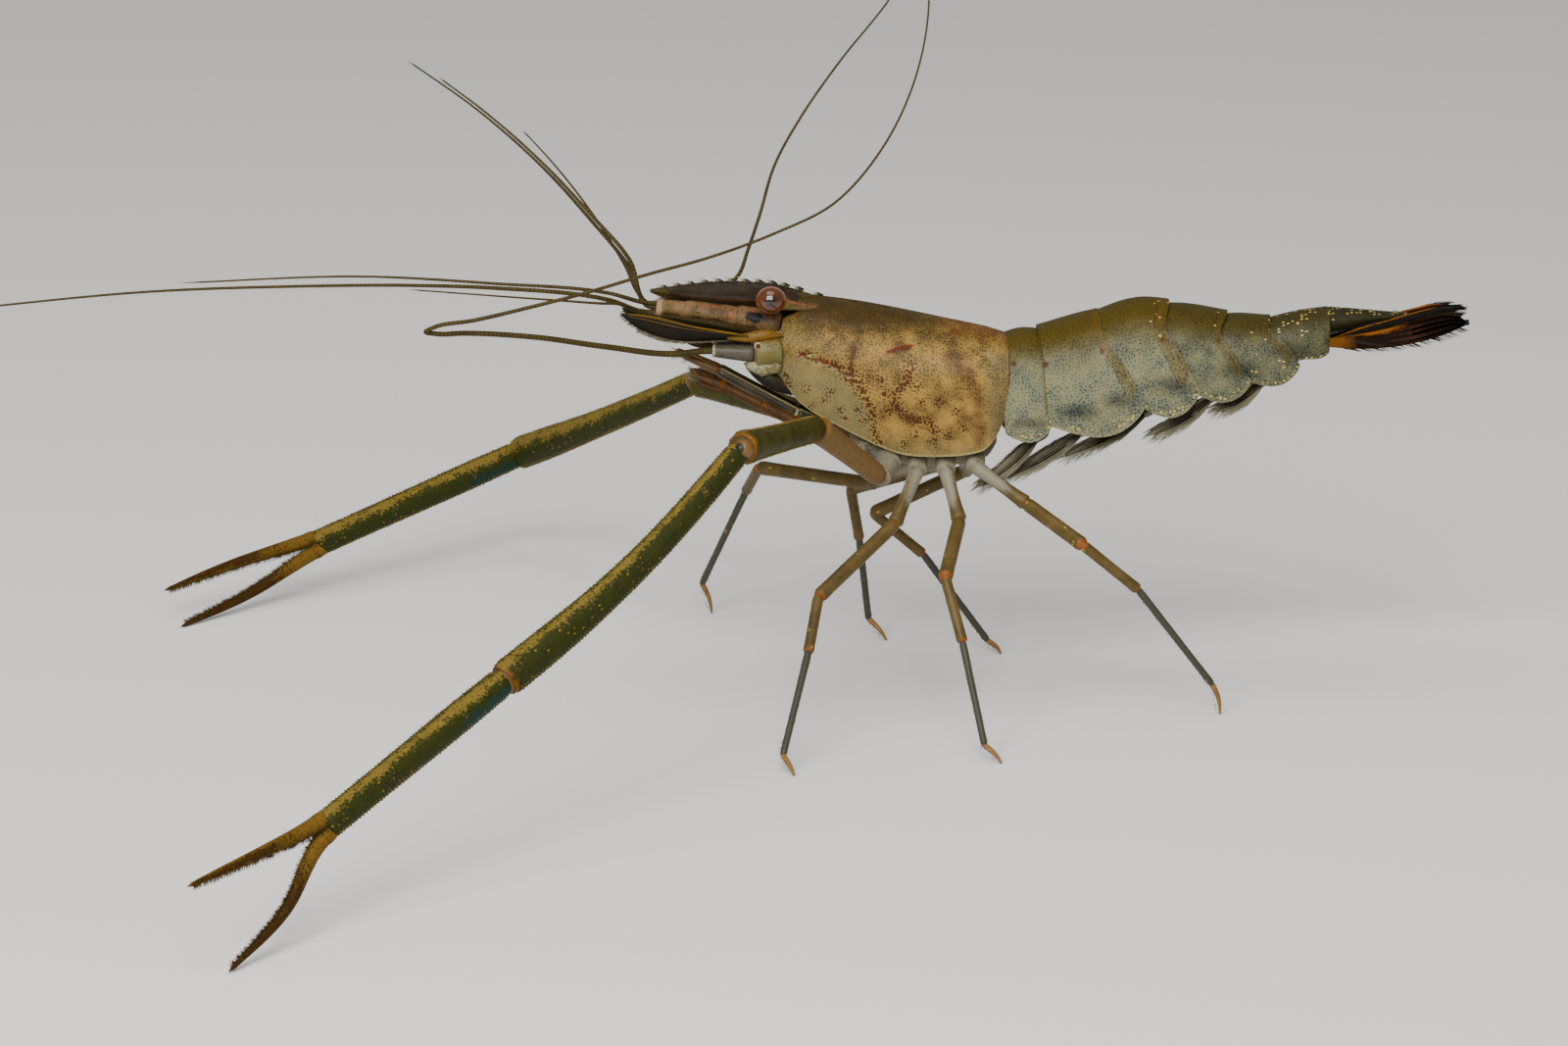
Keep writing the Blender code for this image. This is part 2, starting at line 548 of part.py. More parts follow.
def make_eyes(eye_finish, stalk_finish):
    for name, side in SIDES:
        ball = eye_ball("eye_" + name, side, eye_finish)
        way = stalk_direction(side)
        trim(ball, eye_centre(side) - way * EYE_CUT, -way)
        stalk_tube("eyestalk_" + name, side, stalk_finish)


def blade(name, outer, inner, thickness, material, ridges=(), belly=None):
    """A thin leaf between two edge lines, with lens-like sections and, where given, raised ridges and a belly."""
    belly = belly or [0.0] * len(outer)
    shares = sorted({0.0, 0.12, 0.5, 0.88, 1.0} | {s for r in ridges for s in (r - 0.07, r, r + 0.07)})
    rings = []
    for a, b, depth in zip(outer, inner, belly):
        lift = Vector((0, a.z - b.z, b.y - a.y)).normalized() * math.copysign(thickness / 2, b.y - a.y)
        upper = [mix(a, b, s) + lift * (1.5 if s in ridges else 0.6 if s in (0.0, 1.0) else 1.0) for s in shares]
        deep = lift + Vector((0, 0, depth))
        lower = [mix(a, b, s) - (lift * 0.6 if s in (0.0, 1.0) else deep) for s in shares]
        rings.append(upper + lower[::-1])
    return loft(name, rings, material)


def edge_points(line, stations, side):
    across = [(row[0], row[1]) for row in line]
    height = [(row[0], row[2]) for row in line]
    across, height = across[::-1], height[::-1]
    return [Vector((x, read(across, x) * side, read(height, x))) for x in stations]


def make_head_pieces(shell, scale_finish):
    for name, side in SIDES:
        tube("antennule_stem_" + name, [mirrored(p, side) for p in ANTENNULE_LINE], ANTENNULE_RADII, shell)
        tube("antenna_stem_" + name, [mirrored(p, side) for p in ANTENNA_LINE], ANTENNA_RADII, shell, 3)
        stations = [mix(SCALE_START, SCALE_TIP, i / 6) for i in range(7)]
        blade("antennal_scale_" + name, edge_points(SCALE_OUTER, stations, side),
              edge_points(SCALE_INNER, stations, side), SCALE_THICKNESS, scale_finish, (SCALE_RIDGE,))
        tube("third_maxilliped_" + name, [mirrored(p, side) for p in MAXILLIPED_LINE], MAXILLIPED_RADII, shell)


def ring_ends(index):
    """X of a joint between rings as a function of the height fraction below the back."""
    stations = list(zip(JOINT_LEVELS, JOINTS[index]))
    return lambda level: read(stations, level)


def somite_belly(index):
    """Which step of the drop from flank to tip carries the belly: the last ring is closed below."""
    return len(ABDOMEN_DROP) - 1 if index == len(PLEURON_TIP) - 1 else 0


def somite_ring(index, share):
    """One cross-section of an abdominal ring, a share of the way from its front to its rear joint."""
    front, rear = ring_ends(index), ring_ends(index + 1)
    middle = mix(JOINTS[index][0], JOINTS[index + 1][0], share)
    arch = math.sin(math.pi * share)
    back = read(ABDOMEN_BACK, middle) + RING_SWELL * arch
    wide = read(ABDOMEN_WIDTH, middle) + RING_SWELL * arch
    notch = mix(PLEURON_NOTCH[index], PLEURON_NOTCH[index + 1], share)
    tip = mix(notch, PLEURON_TIP[index], arch ** 0.7)
    half = plate_side(back, read(ABDOMEN_FLANK, middle), wide, tip, wide * PLEURON_TUCK,
                      ABDOMEN_DROP, somite_belly(index), PLEURON_WALL)

    def place(level):
        start = front(level) + (GAP / 2 if index else 0.0)
        return mix(start, rear(level) - GAP / 2, share)

    return plate_ring(half, back, place)


def make_abdomen(material):
    for index in range(len(PLEURON_TIP)):
        rings = [somite_ring(index, i / 5) for i in range(6)]
        count = (len(rings[0]) - 1) // 2
        caps = plate_caps(count, somite_belly(index), len(ABDOMEN_DROP))
        loft("abdomen_ring_%d" % (index + 1), rings, material, caps)


def oval(x, centre, half_wide, half_high, count=12):
    return [Vector((x, half_wide * math.cos(2 * math.pi * i / count),
                    centre + half_high * math.sin(2 * math.pi * i / count))) for i in range(count)]


def make_tail_fan(shell, fan):
    loft("telson", [oval(*row) for row in TELSON], shell)
    for name, side in SIDES:
        for kind, table, belly in (("inner", UROPOD_INNER, None), ("outer", UROPOD_OUTER, UROPOD_BELLY)):
            outer = [Vector((x, y * side, z)) for x, y, z, _, _ in table]
            inner = [Vector((x, y * side, z)) for x, _, _, y, z in table]
            blade("uropod_%s_%s" % (kind, name), outer, inner, UROPOD_THICKNESS, fan, UROPOD_RIDGES[kind], belly)


def paddle(name, centres, widths, thicknesses, material):
    """A flat limb whose broad face lies across the body."""
    rings = []
    across = Vector((0, 1, 0))
    for i, (centre, wide, thick) in enumerate(zip(centres, widths, thicknesses)):
        way = (centres[min(i + 1, len(centres) - 1)] - centres[max(i - 1, 0)]).normalized()
        up = way.cross(across).normalized() * thick / 2
        rings.append([centre + across * wide, centre + across * wide * 0.6 + up, centre - across * wide * 0.6 + up,
                      centre - across * wide, centre - across * wide * 0.6 - up,
                      centre + across * wide * 0.6 - up])
    return loft(name, rings, material)


def pleopod_leaf(root, reach, drop, place, share, wide, side, material):
    """One of a swimming leg's two leaves, which hangs forward from the stem's lower end."""
    centres, widths, thicknesses = [], [], []
    for along, broad, thick in ((0.0, 0.6, 1.0), (0.15, 0.9, 1.0), (0.45, 1.0, 1.0), (0.8, 0.7, 0.8), (1.0, 0.2, 0.4)):
        outward = mix(PLEOPOD_STEM_PLACE, place, min(1.0, along * 3))
        centres.append(Vector((root.x + reach * share * along, outward * side, root.z + drop * share * along)))
        widths.append(wide * broad)
        thicknesses.append(PLEOPOD_THICKNESS * thick)
    return paddle("leaf", centres, widths, thicknesses, material)


def make_pleopods(material):
    for index, (reach, drop) in enumerate(PLEOPOD_REACH):
        middle = mix(JOINTS[index][0], JOINTS[index + 1][0], 0.5) + 1.0
        tip = PLEURON_TIP[index]
        flank = read(ABDOMEN_FLANK, middle)
        belly = flank - (flank - tip) * ABDOMEN_DROP[0]
        for name, side in SIDES:
            spots = ((middle, belly - 1.0), (middle + 1.2, tip + 2.4), (middle + 1.4, tip + 0.9),
                     (middle + 0.4, tip + 0.1))
            centres = [Vector((x, PLEOPOD_STEM_PLACE * side, z)) for x, z in spots]
            stem = paddle("pleopod_%d_%s" % (index + 1, name), centres, [PLEOPOD_STEM_WIDTH] * len(centres),
                          [PLEOPOD_THICKNESS * 1.2] * len(centres), material)
            root = centres[-1] + Vector((0.5, 0, 0.3))
            leaves = [pleopod_leaf(root, reach, drop, place, share, wide, side, material)
                      for place, share, wide in PLEOPOD_LEAVES]
            boolean(stem, leaves, "UNION")


def feeler_path(start, lead, name):
    """A feeler's route: straight out of what carries it, then through its own points."""
    points = [start, start + lead * FEELER_LEAD] + [Vector(p) for p in FEELERS[name]]
    return smooth_path(points, 4)


def feeler_tube(name, path, thick, thin, material):
    count = len(path)
    radii = [mix(thick, thin, (i / (count - 1)) ** 0.8) for i in range(count)]
    return tube(name, path, radii, material, 1)


def make_feelers(material):
    """The four feelers of each side; a long one that turns back is made in two lengths."""
    ahead = Vector((-1, 0, 0))
    for name, side in SIDES:
        stem = lean(mirrored(ANTENNA_LINE[-1], side)) + ahead * GAP
        first = "antenna_feeler_1_" + name
        path = feeler_path(stem, ahead, first)
        feeler_tube(first, path, ANTENNA_RADIUS, ANTENNA_MIDDLE_RADIUS, material)
        way = (path[-1] - path[-2]).normalized()
        second = "antenna_feeler_2_" + name
        path = feeler_path(path[-1] + way * GAP, way, second)
        feeler_tube(second, path, ANTENNA_MIDDLE_RADIUS, FEELER_TIP, material)
        spread = Vector(FEELER_SPREAD[name])
        for kind, share in (("outer", 1), ("inner", -1)):
            root = lean(mirrored(ANTENNULE_LINE[-1], side)) + ahead * GAP + spread * share
            title = "antennule_feeler_%s_%s" % (kind, name)
            path = feeler_path(root, ahead, title)
            feeler = feeler_tube(title, path, ANTENNULE_FEELER_RADIUS, FEELER_TIP, material)
            if title in FEELER_BRANCHES:
                path = smooth_path([path[BRANCH_START]] + [Vector(p) for p in FEELER_BRANCHES[title]], 3)
                boolean(feeler, [feeler_tube("strand", path, BRANCH_RADIUS, FEELER_TIP, material)], "UNION")


def coxa_root(index, side):
    """A leg's root point on the side of the sternum, and its direction there, in the standing frame."""
    x = COXA_PLACES[index]
    top = carapace_floor(x) - GAP
    middle = Vector((x, side * (STERNUM_TOP_WIDTH + STERNUM_BOTTOM_WIDTH) / 2, top - STERNUM_DEPTH / 2))
    slope = STERNUM_TOP_WIDTH - STERNUM_BOTTOM_WIDTH
    normal = Vector((0, side * STERNUM_DEPTH, -slope)).normalized()
    root = middle + normal * GAP
    start = lean(root)
    return start, (lean(root + normal) - start)


def leg_path(joints, start, way):
    """Points and radii along a leg: each length has a point near its start, its middle and its end."""
    points = [start, start + way * COXA_LENGTH * 0.5, start + way * COXA_LENGTH]
    radii = [COXA_RADIUS, COXA_RADIUS, COXA_RADIUS * 0.9]
    before = points[-1]
    for joint, (near, middle, far) in zip(joints, LEG_RADII):
        joint = Vector(joint)
        points += [mix(before, joint, 0.15), mix(before, joint, 0.5), mix(before, joint, 0.93)]
        radii += [near, middle, far]
        before = joint
    points.append(before)
    radii.append(LEG_RADII[-1][-1])
    return points, radii


def make_walking_legs(material):
    for (name, index), joints in LEGS.items():
        side = dict(SIDES)[name]
        start, way = coxa_root(index, side)
        points, radii = leg_path(joints, start, way)
        leg = tube("leg_%d_%s" % (index, name), points, radii, material)
        trim(leg, (0, 0, 0), (0, 0, -1))


def even_radius(radii, share):
    """The radius at a share of a limb's length, from a short list of radii."""
    return read([(i / (len(radii) - 1), radius) for i, radius in enumerate(radii)], share)


def stretch(start, end, radii, bow=(0, 0, 0), count=7):
    """Points from one end to the other, bowed between them, and the radius at each."""
    shares = [i / (count - 1) for i in range(count)]
    points = [mix(start, end, share) + Vector(bow) * math.sin(math.pi * share) for share in shares]
    return points, [even_radius(radii, share) for share in shares]


def joint_plane(before, joint, after):
    return ((joint - before).normalized() + (after - joint).normalized()).normalized()


def spinules(start, end, pitch, radii, material, bow=(0, 0, 0)):
    """Two rows of small spines along opposite edges of a limb's length, leaning toward its far end."""
    along = (end - start).normalized()
    edge = along.cross(Vector((0, 1, 0))).normalized()
    count = int((end - start).length / pitch)
    spines = []
    for i in range(count):
        share = (i + 0.5 + random.uniform(-0.15, 0.15)) / count
        centre = mix(start, end, share) + Vector(bow) * math.sin(math.pi * share)
        for way in (edge, -edge):
            root = centre + way * (even_radius(radii, share) - SPINULE_SINK)
            spines.append(spike(root, way + along * 0.5, SPINULE_LENGTH, SPINULE_RADIUS, material, 4))
    return spines


def make_cheliped(name, side, material, finger_finish):
    basis, ischium, merus, carpus, palm = [Vector(p) for p in CHELIPEDS[name]]
    start, way = coxa_root(2, side)
    knee = joint_plane(ischium, merus, carpus)
    wrist = joint_plane(merus, carpus, palm)
    along = (merus - ischium).normalized()
    points = [start, start + way * COXA_LENGTH, basis, mix(basis, ischium, 0.2), mix(basis, ischium, 0.9),
              mix(ischium, merus, 0.12), merus + along * JOINT_REACH]
    arm = tube("cheliped_arm_" + name, points, ARM_RADII, material, 3)
    trim(arm, merus - knee * GAP / 2, knee)
    radii = ARM_RADII[-2:]
    boolean(arm, spinules(mix(ischium, merus, 0.12), merus - along, SPINULE_PITCH["arm"], radii, material), "UNION")
    along = (carpus - merus).normalized() * JOINT_REACH
    points, radii = stretch(merus - along, carpus + along, CARPUS_RADII, CARPUS_BOW[name])
    fore = tube("cheliped_carpus_" + name, points, radii, material, 3)
    trim(fore, merus + knee * GAP / 2, -knee)
    trim(fore, carpus - wrist * GAP / 2, wrist)
    boolean(fore, spinules(merus + along, carpus - along, SPINULE_PITCH["carpus"], CARPUS_RADII, material,
                           CARPUS_BOW[name]), "UNION")
    along = (palm - carpus).normalized() * JOINT_REACH
    points, radii = stretch(carpus - along, palm, PALM_RADII)
    hand = tube("cheliped_palm_" + name, points, radii, material, 3)
    trim(hand, carpus + wrist * GAP / 2, -wrist)
    along.normalize()
    fixed, moving = [[Vector(p) for p in line] for line in FINGERS[name]]
    spread = fixed[0] - moving[0]
    spread = (spread - along * spread.dot(along)).normalized() * FINGER_OFFSET
    pieces = spinules(carpus + along * JOINT_REACH, palm - along, SPINULE_PITCH["palm"], PALM_RADII, material)
    boolean(hand, pieces + [finger("fixed_finger", [palm - along + spread, palm + spread] + fixed, material)],
            "UNION")
    root = palm + along * GAP - spread
    thumb = finger("cheliped_finger_" + name, [root, root + along] + moving, finger_finish)
    trim(thumb, (0, 0, 0), (0, 0, -1))


def finger(name, points, material):
    """A slim finger through its root, base, middle and tip."""
    path = smooth_path(points, 3)
    return tube(name, path, [even_radius(FINGER_RADII, i / (len(path) - 1)) for i in range(len(path))], material)


def make_first_legs(material):
    length, thick, thin = FIRST_LEG_ROOT
    for name, side in SIDES:
        start, way = coxa_root(1, side)
        points = [start, start + way * length] + [lean(mirrored(p, side)) for p in FIRST_LEG_LINE]
        leg = tube("first_leg_" + name, points, [thick, thin] + list(FIRST_LEG_RADII), material)
        points = [lean(mirrored(p, side)) for p in FIRST_FINGER_LINE]
        boolean(leg, [tube("first_finger", points, FIRST_FINGER_RADII, material)], "UNION")


def empty_frame(name, location, turn=(0, 0, 0)):
    frame = bpy.data.objects.new(name, None)
    frame.location = [v * MM for v in location]
    frame.rotation_euler = turn
    bpy.context.scene.collection.objects.link(frame)
    return frame


def main():
    clear_scene()
    shell = finish("amber_shell", (0.42, 0.33, 0.18), 0.35)
    abdomen = finish("grey_olive_shell", (0.30, 0.30, 0.19), 0.35)
    eye = finish("amber_eye", (0.45, 0.17, 0.05), 0.1)
    leg = finish("leg_shell", (0.30, 0.24, 0.14), 0.4)
    olive = finish("olive_cheliped", (0.10, 0.12, 0.02), 0.45)
    brown = finish("brown_finger", (0.12, 0.06, 0.02), 0.5)
    fan = finish("dark_tail_fan", (0.13, 0.05, 0.02), 0.4)
    pale = finish("pale_pleopod", (0.45, 0.44, 0.38), 0.4)
    make_carapace(shell)
    make_sternum(shell)
    make_eyes(eye, shell)
    make_head_pieces(shell, fan)
    make_abdomen(abdomen)
    make_tail_fan(abdomen, fan)
    make_pleopods(pale)
    body_pieces = list(bpy.context.scene.collection.objects)
    make_feelers(leg)
    make_first_legs(leg)
    make_walking_legs(leg)
    for name, side in SIDES:
        make_cheliped(name, side, olive, brown)
    standing_pieces = [o for o in bpy.context.scene.collection.objects if o not in body_pieces]
    stand_frame = empty_frame("standing_frame", ORIGIN)
    body_frame = empty_frame("body_frame", (0, 0, LEAN_HEIGHT), (-LEAN, 0, 0))
    body_frame.parent = stand_frame
    for thing in body_pieces:
        thing.parent = body_frame
        thing.location = (0, 0, -LEAN_HEIGHT * MM)
    for thing in standing_pieces:
        thing.parent = stand_frame
    home = bpy.data.collections.new(OBJECT_NAME)
    bpy.context.scene.collection.children.link(home)
    for thing in body_pieces + standing_pieces + [stand_frame, body_frame]:
        bpy.context.scene.collection.objects.unlink(thing)
        home.objects.link(thing)


main()
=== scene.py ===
import math
import random

import bmesh
import bpy
import numpy as np
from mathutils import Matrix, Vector


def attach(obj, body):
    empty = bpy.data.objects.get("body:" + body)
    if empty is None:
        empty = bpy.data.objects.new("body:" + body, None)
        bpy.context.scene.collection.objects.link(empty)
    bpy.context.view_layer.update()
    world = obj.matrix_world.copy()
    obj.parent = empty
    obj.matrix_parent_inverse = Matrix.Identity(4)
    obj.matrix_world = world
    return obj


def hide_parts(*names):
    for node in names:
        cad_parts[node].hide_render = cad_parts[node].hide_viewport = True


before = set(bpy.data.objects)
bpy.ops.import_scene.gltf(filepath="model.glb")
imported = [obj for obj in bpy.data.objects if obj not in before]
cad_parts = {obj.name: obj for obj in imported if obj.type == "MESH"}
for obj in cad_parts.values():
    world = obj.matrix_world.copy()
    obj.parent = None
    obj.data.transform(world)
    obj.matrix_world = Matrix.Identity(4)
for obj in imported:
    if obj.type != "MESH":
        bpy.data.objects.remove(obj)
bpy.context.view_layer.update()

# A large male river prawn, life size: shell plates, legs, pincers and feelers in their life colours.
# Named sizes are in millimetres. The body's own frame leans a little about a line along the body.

MM = 0.001
ORIGIN = Vector((33.3, 19.4, 0.0))
LEAN = math.radians(10.0)
LEAN_HEIGHT = 35.0
SHARP_ANGLE = 60
SIDES = (("left", -1), ("right", 1))

# Carapace outlines: X, then the height or half-width there
CARAPACE_FRONT = -24.9
CARAPACE_REAR = 0.25
BACK_LINE = ((-24.9, 44.2), (-23.4, 44.3), (-20.7, 44.5), (-13.5, 43.5), (-2.8, 41.5), (0.25, 40.6))
FLANK_LINE = ((-24.9, 39.0), (-20.0, 37.6), (-10.0, 35.6), (0.25, 36.6))
FLANK_WIDTH = ((-24.9, 4.7), (-21.0, 5.7), (-14.0, 6.3), (-6.0, 6.6), (0.25, 6.25))
MARGIN_LINE = ((-24.9, 36.4), (-22.4, 33.2), (-18.4, 30.8), (-12.2, 27.9), (-8.0, 27.4), (-2.8, 28.0),
               (-1.2, 29.6), (-0.3, 31.6), (0.25, 33.6))
MARGIN_WIDTH = ((-24.9, 3.9), (-18.0, 4.6), (-8.0, 4.9), (0.25, 5.4))
# The two spines of each side: middle line, radii, and how pale each point is
CARAPACE_SPINES = ((((-24.3, 4.1, 40.6), (-25.2, 4.35, 40.75), (-26.0, 4.5, 40.85)),
                    (0.36, 0.28, 0.0), (0.6, 0.8, 1.0)),
                   (((-20.2, 5.35, 38.3), (-21.1, 5.75, 38.4), (-21.9, 6.1, 38.45)),
                    (0.4, 0.28, 0.0), (0.3, 0.6, 1.0)))
PLATE_ARCH = 0.5
SHELL_WALL = 0.22

# Markings of the carapace's sides, as X and height of points along each dark line, with its half-width
CARAPACE_LINES = (
    (((-22.4, 38.6), (-20.6, 38.1), (-18.7, 37.3), (-17.1, 36.4)), 0.3),
    (((-17.3, 36.4), (-16.3, 35.6), (-15.8, 34.5)), 0.65),
    (((-10.4, 37.6), (-10.8, 35.7), (-12.0, 34.4), (-12.1, 33.2), (-11.3, 32.0), (-9.7, 31.4), (-8.6, 31.4),
      (-7.7, 30.2)), 0.42),
    (((-15.2, 33.6), (-14.7, 32.5), (-14.5, 31.1), (-14.3, 29.7), (-13.9, 29.0)), 0.5),
    (((-15.7, 31.3), (-15.0, 31.6)), 0.45),
)
# Where the dark back ends, and the lower front's upper border
DARK_LINE = ((-24.9, 42.4), (-22.2, 42.3), (-19.9, 41.7), (-16.6, 41.2), (-12.0, 41.3), (-9.7, 41.1),
             (-7.8, 40.6), (0.25, 39.4))
GREY_LINE = ((-24.9, 38.7), (-22.4, 38.6), (-20.6, 38.1), (-18.7, 37.3), (-17.1, 36.2), (-15.8, 34.4),
             (-14.0, 32.0), (-12.8, 29.0))
RED_LINES = ((((-13.1, 38.8), (-12.0, 39.15), (-10.4, 39.5)), 0.34),
             (((-22.4, 38.6), (-20.6, 38.1), (-19.0, 37.5)), 0.26))
CARAPACE_SPECKS = ((-21.7, 34.8), (-19.9, 33.6), (-18.0, 32.5), (-17.5, 31.6), (-16.2, 32.5), (-13.2, 34.3),
                   (-12.9, 32.5), (-11.3, 28.8), (-9.9, 29.9), (-6.5, 29.7), (-5.6, 32.5), (-9.2, 33.4),
                   (-7.4, 33.4), (-13.6, 35.7), (-24.0, 36.3), (-23.8, 35.2), (-21.2, 32.9), (-19.1, 34.4),
                   (-8.0, 29.2), (-4.8, 30.6), (-9.9, 35.0))
# Brown slanting marks behind the eye, on the golden-green front
FRONT_MARKS = (((-18.4, 40.6), (-19.6, 39.6)), ((-21.3, 40.7), (-20.0, 40.2)), ((-23.8, 39.7), (-23.6, 38.9)),
               ((-16.2, 40.2), (-17.2, 39.3)))
BROWN_SMEARS = ((((-16.5, 39.2), (-17.0, 37.6), (-16.8, 36.7)), 0.35), (((-12.9, 38.9), (-12.0, 39.1),
                (-10.6, 39.3)), 0.4))
REAR_SMEAR = ((-6.2, 38.3), (-4.2, 36.6), (-3.2, 33.4), (-2.9, 31.1), (-3.1, 28.8))
PALE_LINES = (
    ((-22.2, 42.6), (-19.9, 41.9), (-16.6, 41.4), (-12.0, 41.5), (-7.8, 41.1)),
    ((-11.1, 39.7), (-8.8, 40.2), (-6.5, 40.1), (-4.2, 39.6), (-2.1, 38.2), (-0.7, 36.4)),
)

# Rostrum: X, crest, side ridge, lower edge, half thickness at the ridge
ROSTRUM = ((-38.8, 45.4, 45.2, 45.0, 0.12), (-37.0, 45.6, 45.0, 44.2, 0.4), (-34.9, 45.9, 44.7, 42.9, 0.55),
           (-31.7, 46.2, 44.4, 41.9, 0.7), (-28.5, 46.2, 44.2, 41.8, 0.9), (-25.0, 45.9, 44.0, 42.0, 1.2),
           (-22.0, 45.1, 43.5, 42.4, 1.5), (-17.5, 43.7, 43.0, 42.4, 1.2))
TOOTH_PLACES = (-37.6, -36.1, -34.6, -33.1, -31.6, -30.2, -28.7, -27.2, -25.8, -24.4, -22.9, -20.8)
TOOTH_LENGTH = 1.0
LOWER_TOOTH_PLACES = (-36.4, -34.9, -33.2)
# A lower tooth's points from root to tip: how far ahead (-) or behind (+) and above the blade's lower edge
LOWER_TOOTH = ((0.5, 0.3), (0.0, -0.1), (-0.5, -0.35))

# Abdomen: the six joints between its rings, X at the back, the hinge, the flank and the lower edge
JOINT_LEVELS = (0.0, 0.3, 0.6, 1.0)
JOINTS = ((0.0, 0.0, 0.0, 0.3), (3.6, 4.2, 4.4, 4.9), (9.7, 10.3, 12.4, 14.8), (17.5, 16.9, 18.6, 20.7),
          (23.9, 22.9, 24.2, 26.3), (28.5, 28.3, 30.2, 31.6), (35.0, 35.0, 35.0, 35.0))
ABDOMEN_BACK = ((0.0, 40.8), (3.6, 41.3), (9.7, 43.1), (15.3, 44.3), (23.9, 42.9), (28.5, 42.4), (35.0, 43.4))
ABDOMEN_FLANK = ((0.0, 36.4), (9.7, 38.2), (17.5, 39.4), (28.5, 39.6), (35.0, 41.0))
ABDOMEN_WIDTH = ((0.0, 6.1), (6.0, 6.6), (13.0, 6.4), (23.0, 5.1), (30.0, 3.9), (35.0, 3.0))
PLEURON_NOTCH = (30.0, 30.9, 33.2, 34.6, 35.6, 37.3, 38.9)
PLEURON_TIP = (29.0, 29.6, 31.7, 33.3, 35.0, 37.9)
PLEURON_TUCK = 0.86
RING_SWELL = 0.25
# How far each ring's front and rear edges reach under (-) or over (+) its neighbour's
FRONT_LAP = (-0.25, 0.22, -0.25, -0.25, -0.25, -0.25)
REAR_LAP = (-0.2, 0.22, 0.22, 0.22, 0.22, 0.1)
# Pale spots as X, height and size: two small pale lobes low on the rings, then three painted highlights
# mid-side
PALE_LOBES_AND_SHEENS = ((10.4, 32.2, 0.45), (16.1, 33.5, 0.45), (6.6, 35.6, 1.3), (13.4, 36.9, 1.5), (20.9, 38.6, 0.9))
HINGE_SPOTS = ((0.7, 37.6), (4.1, 37.6), (10.2, 39.0), (16.7, 40.2), (22.9, 40.1), (28.1, 41.2))
# How dark the rings' own colour is, and the width in mm of the olive-gold band at each one's rear
RING_DARKNESS = (0.0, 0.0, 0.15, 0.5, 0.6, 0.85)
BAND_WIDTH = (0.5, 0.6, 1.0, 0.7, 0.7, 0.5)
RED_SPOTS = ((1.2, 30.9), (21.2, 35.2))
BLUE_PATCHES = ((2.4, 31.1, 2.4, 0.8), (7.8, 32.4, 3.0, 1.1), (12.2, 33.6, 2.4, 1.1), (17.9, 35.2, 3.2, 1.3),
                (25.2, 36.8, 3.0, 1.2), (30.2, 38.8, 2.4, 1.1))

# Head pieces in the body frame, given as X, distance from the middle, Z; the right eye is held a little lower
EYE_CENTRES = {-1: (-25.6, 4.7, 44.4), 1: (-25.5, 4.9, 43.6)}
EYE_RADII = (1.66, 1.6, 1.5)
STALK_ROOT = (-20.6, 2.4, 43.4)
STALK_RADIUS = 0.64
ANTENNULE_LINE = ((-24.6, 2.4, 41.5), (-28.0, 2.4, 42.2), (-31.5, 2.2, 42.8), (-35.0, 2.0, 43.1),
                  (-38.1, 1.8, 43.4))
STEM_SPINE = ((-27.5, 3.6, 41.7), (-29.8, 4.1, 42.0), (-31.6, 4.0, 42.4))
ANTENNA_LINE = ((-24.6, 3.9, 38.9), (-26.2, 4.2, 38.8), (-27.5, 4.4, 38.6), (-32.0, 4.5, 38.9))
SCALE_OUTER = ((-27.2, 5.7, 40.3), (-33.7, 6.5, 41.5), (-38.0, 6.2, 42.5), (-42.0, 5.3, 43.0))
SCALE_INNER = ((-27.2, 3.9, 40.2), (-30.5, 3.7, 40.0), (-36.0, 2.6, 39.9), (-40.0, 2.9, 41.2),
               (-42.0, 4.9, 42.95))
# A golden ridge over the antenna's base, and a pale lobe under it
ANTENNA_RIDGE = ((-24.3, 4.9, 40.6), (-26.0, 5.3, 40.7), (-28.0, 5.2, 40.4), (-30.4, 4.9, 40.3))
ANTENNA_LOBE = ((-24.2, 4.6, 37.4), (-25.0, 4.8, 37.2), (-26.6, 4.9, 37.0), (-28.0, 4.8, 37.3),
                (-28.6, 4.7, 37.6))
# A second rib, behind the scale's outer edge
SCALE_RIB = ((-27.0, 4.4, 40.9), (-31.0, 4.9, 41.7), (-35.0, 4.7, 42.3), (-38.5, 4.2, 42.8))
# The head's dim front wall between the stems of the feelers: its middle line and half-widths
HEAD_WALL = ((-21.5, 0.0, 41.3), (-22.5, 0.0, 41.3), (-24.0, 0.0, 41.4), (-25.5, 0.0, 41.4),
             (-26.5, 0.0, 41.4))
HEAD_WALL_RADII = (0.0, 1.2, 1.4, 1.3, 0.0)
# A lobe of the mouth between the antenna's base and the mouth leg: its ends
MOUTH_LOBE = ((-22.6, 2.6, 34.0), (-25.5, 3.2, 35.7), (-28.2, 3.5, 37.2))
MAXILLIPED_LINE = ((-18.7, 1.8, 30.3), (-20.3, 2.3, 30.9), (-22.8, 2.6, 32.0), (-26.6, 2.8, 34.3),
                   (-31.3, 3.0, 36.6), (-35.9, 3.0, 38.6))

# Walking legs in the standing frame: joints from the basis to the tip, as X, Y, Z, for legs 3, 4 and 5
COXA_PLACES = {1: -15.6, 2: -12.8, 3: -9.7, 4: -6.6, 5: -3.4}
STERNUM_TOP_WIDTH = 3.0
STERNUM_BOTTOM_WIDTH = 1.4
STERNUM_DEPTH = 2.4
STERNUM_SCALLOP = 0.25
STERNUM_PITCH = 3.05
GAP = 0.3
# The first and last X of the dim flesh, the sternum and the abdomen's flesh, and how far in the flesh lies
INNER_SPAN = (-23.8, -0.2)
STERNUM_SPAN = (-17.0, -1.0)
TAIL_FLESH_SPAN = (-0.8, 34.6)
INNER_INSET = 0.5
TAIL_FLESH_INSET = 0.6
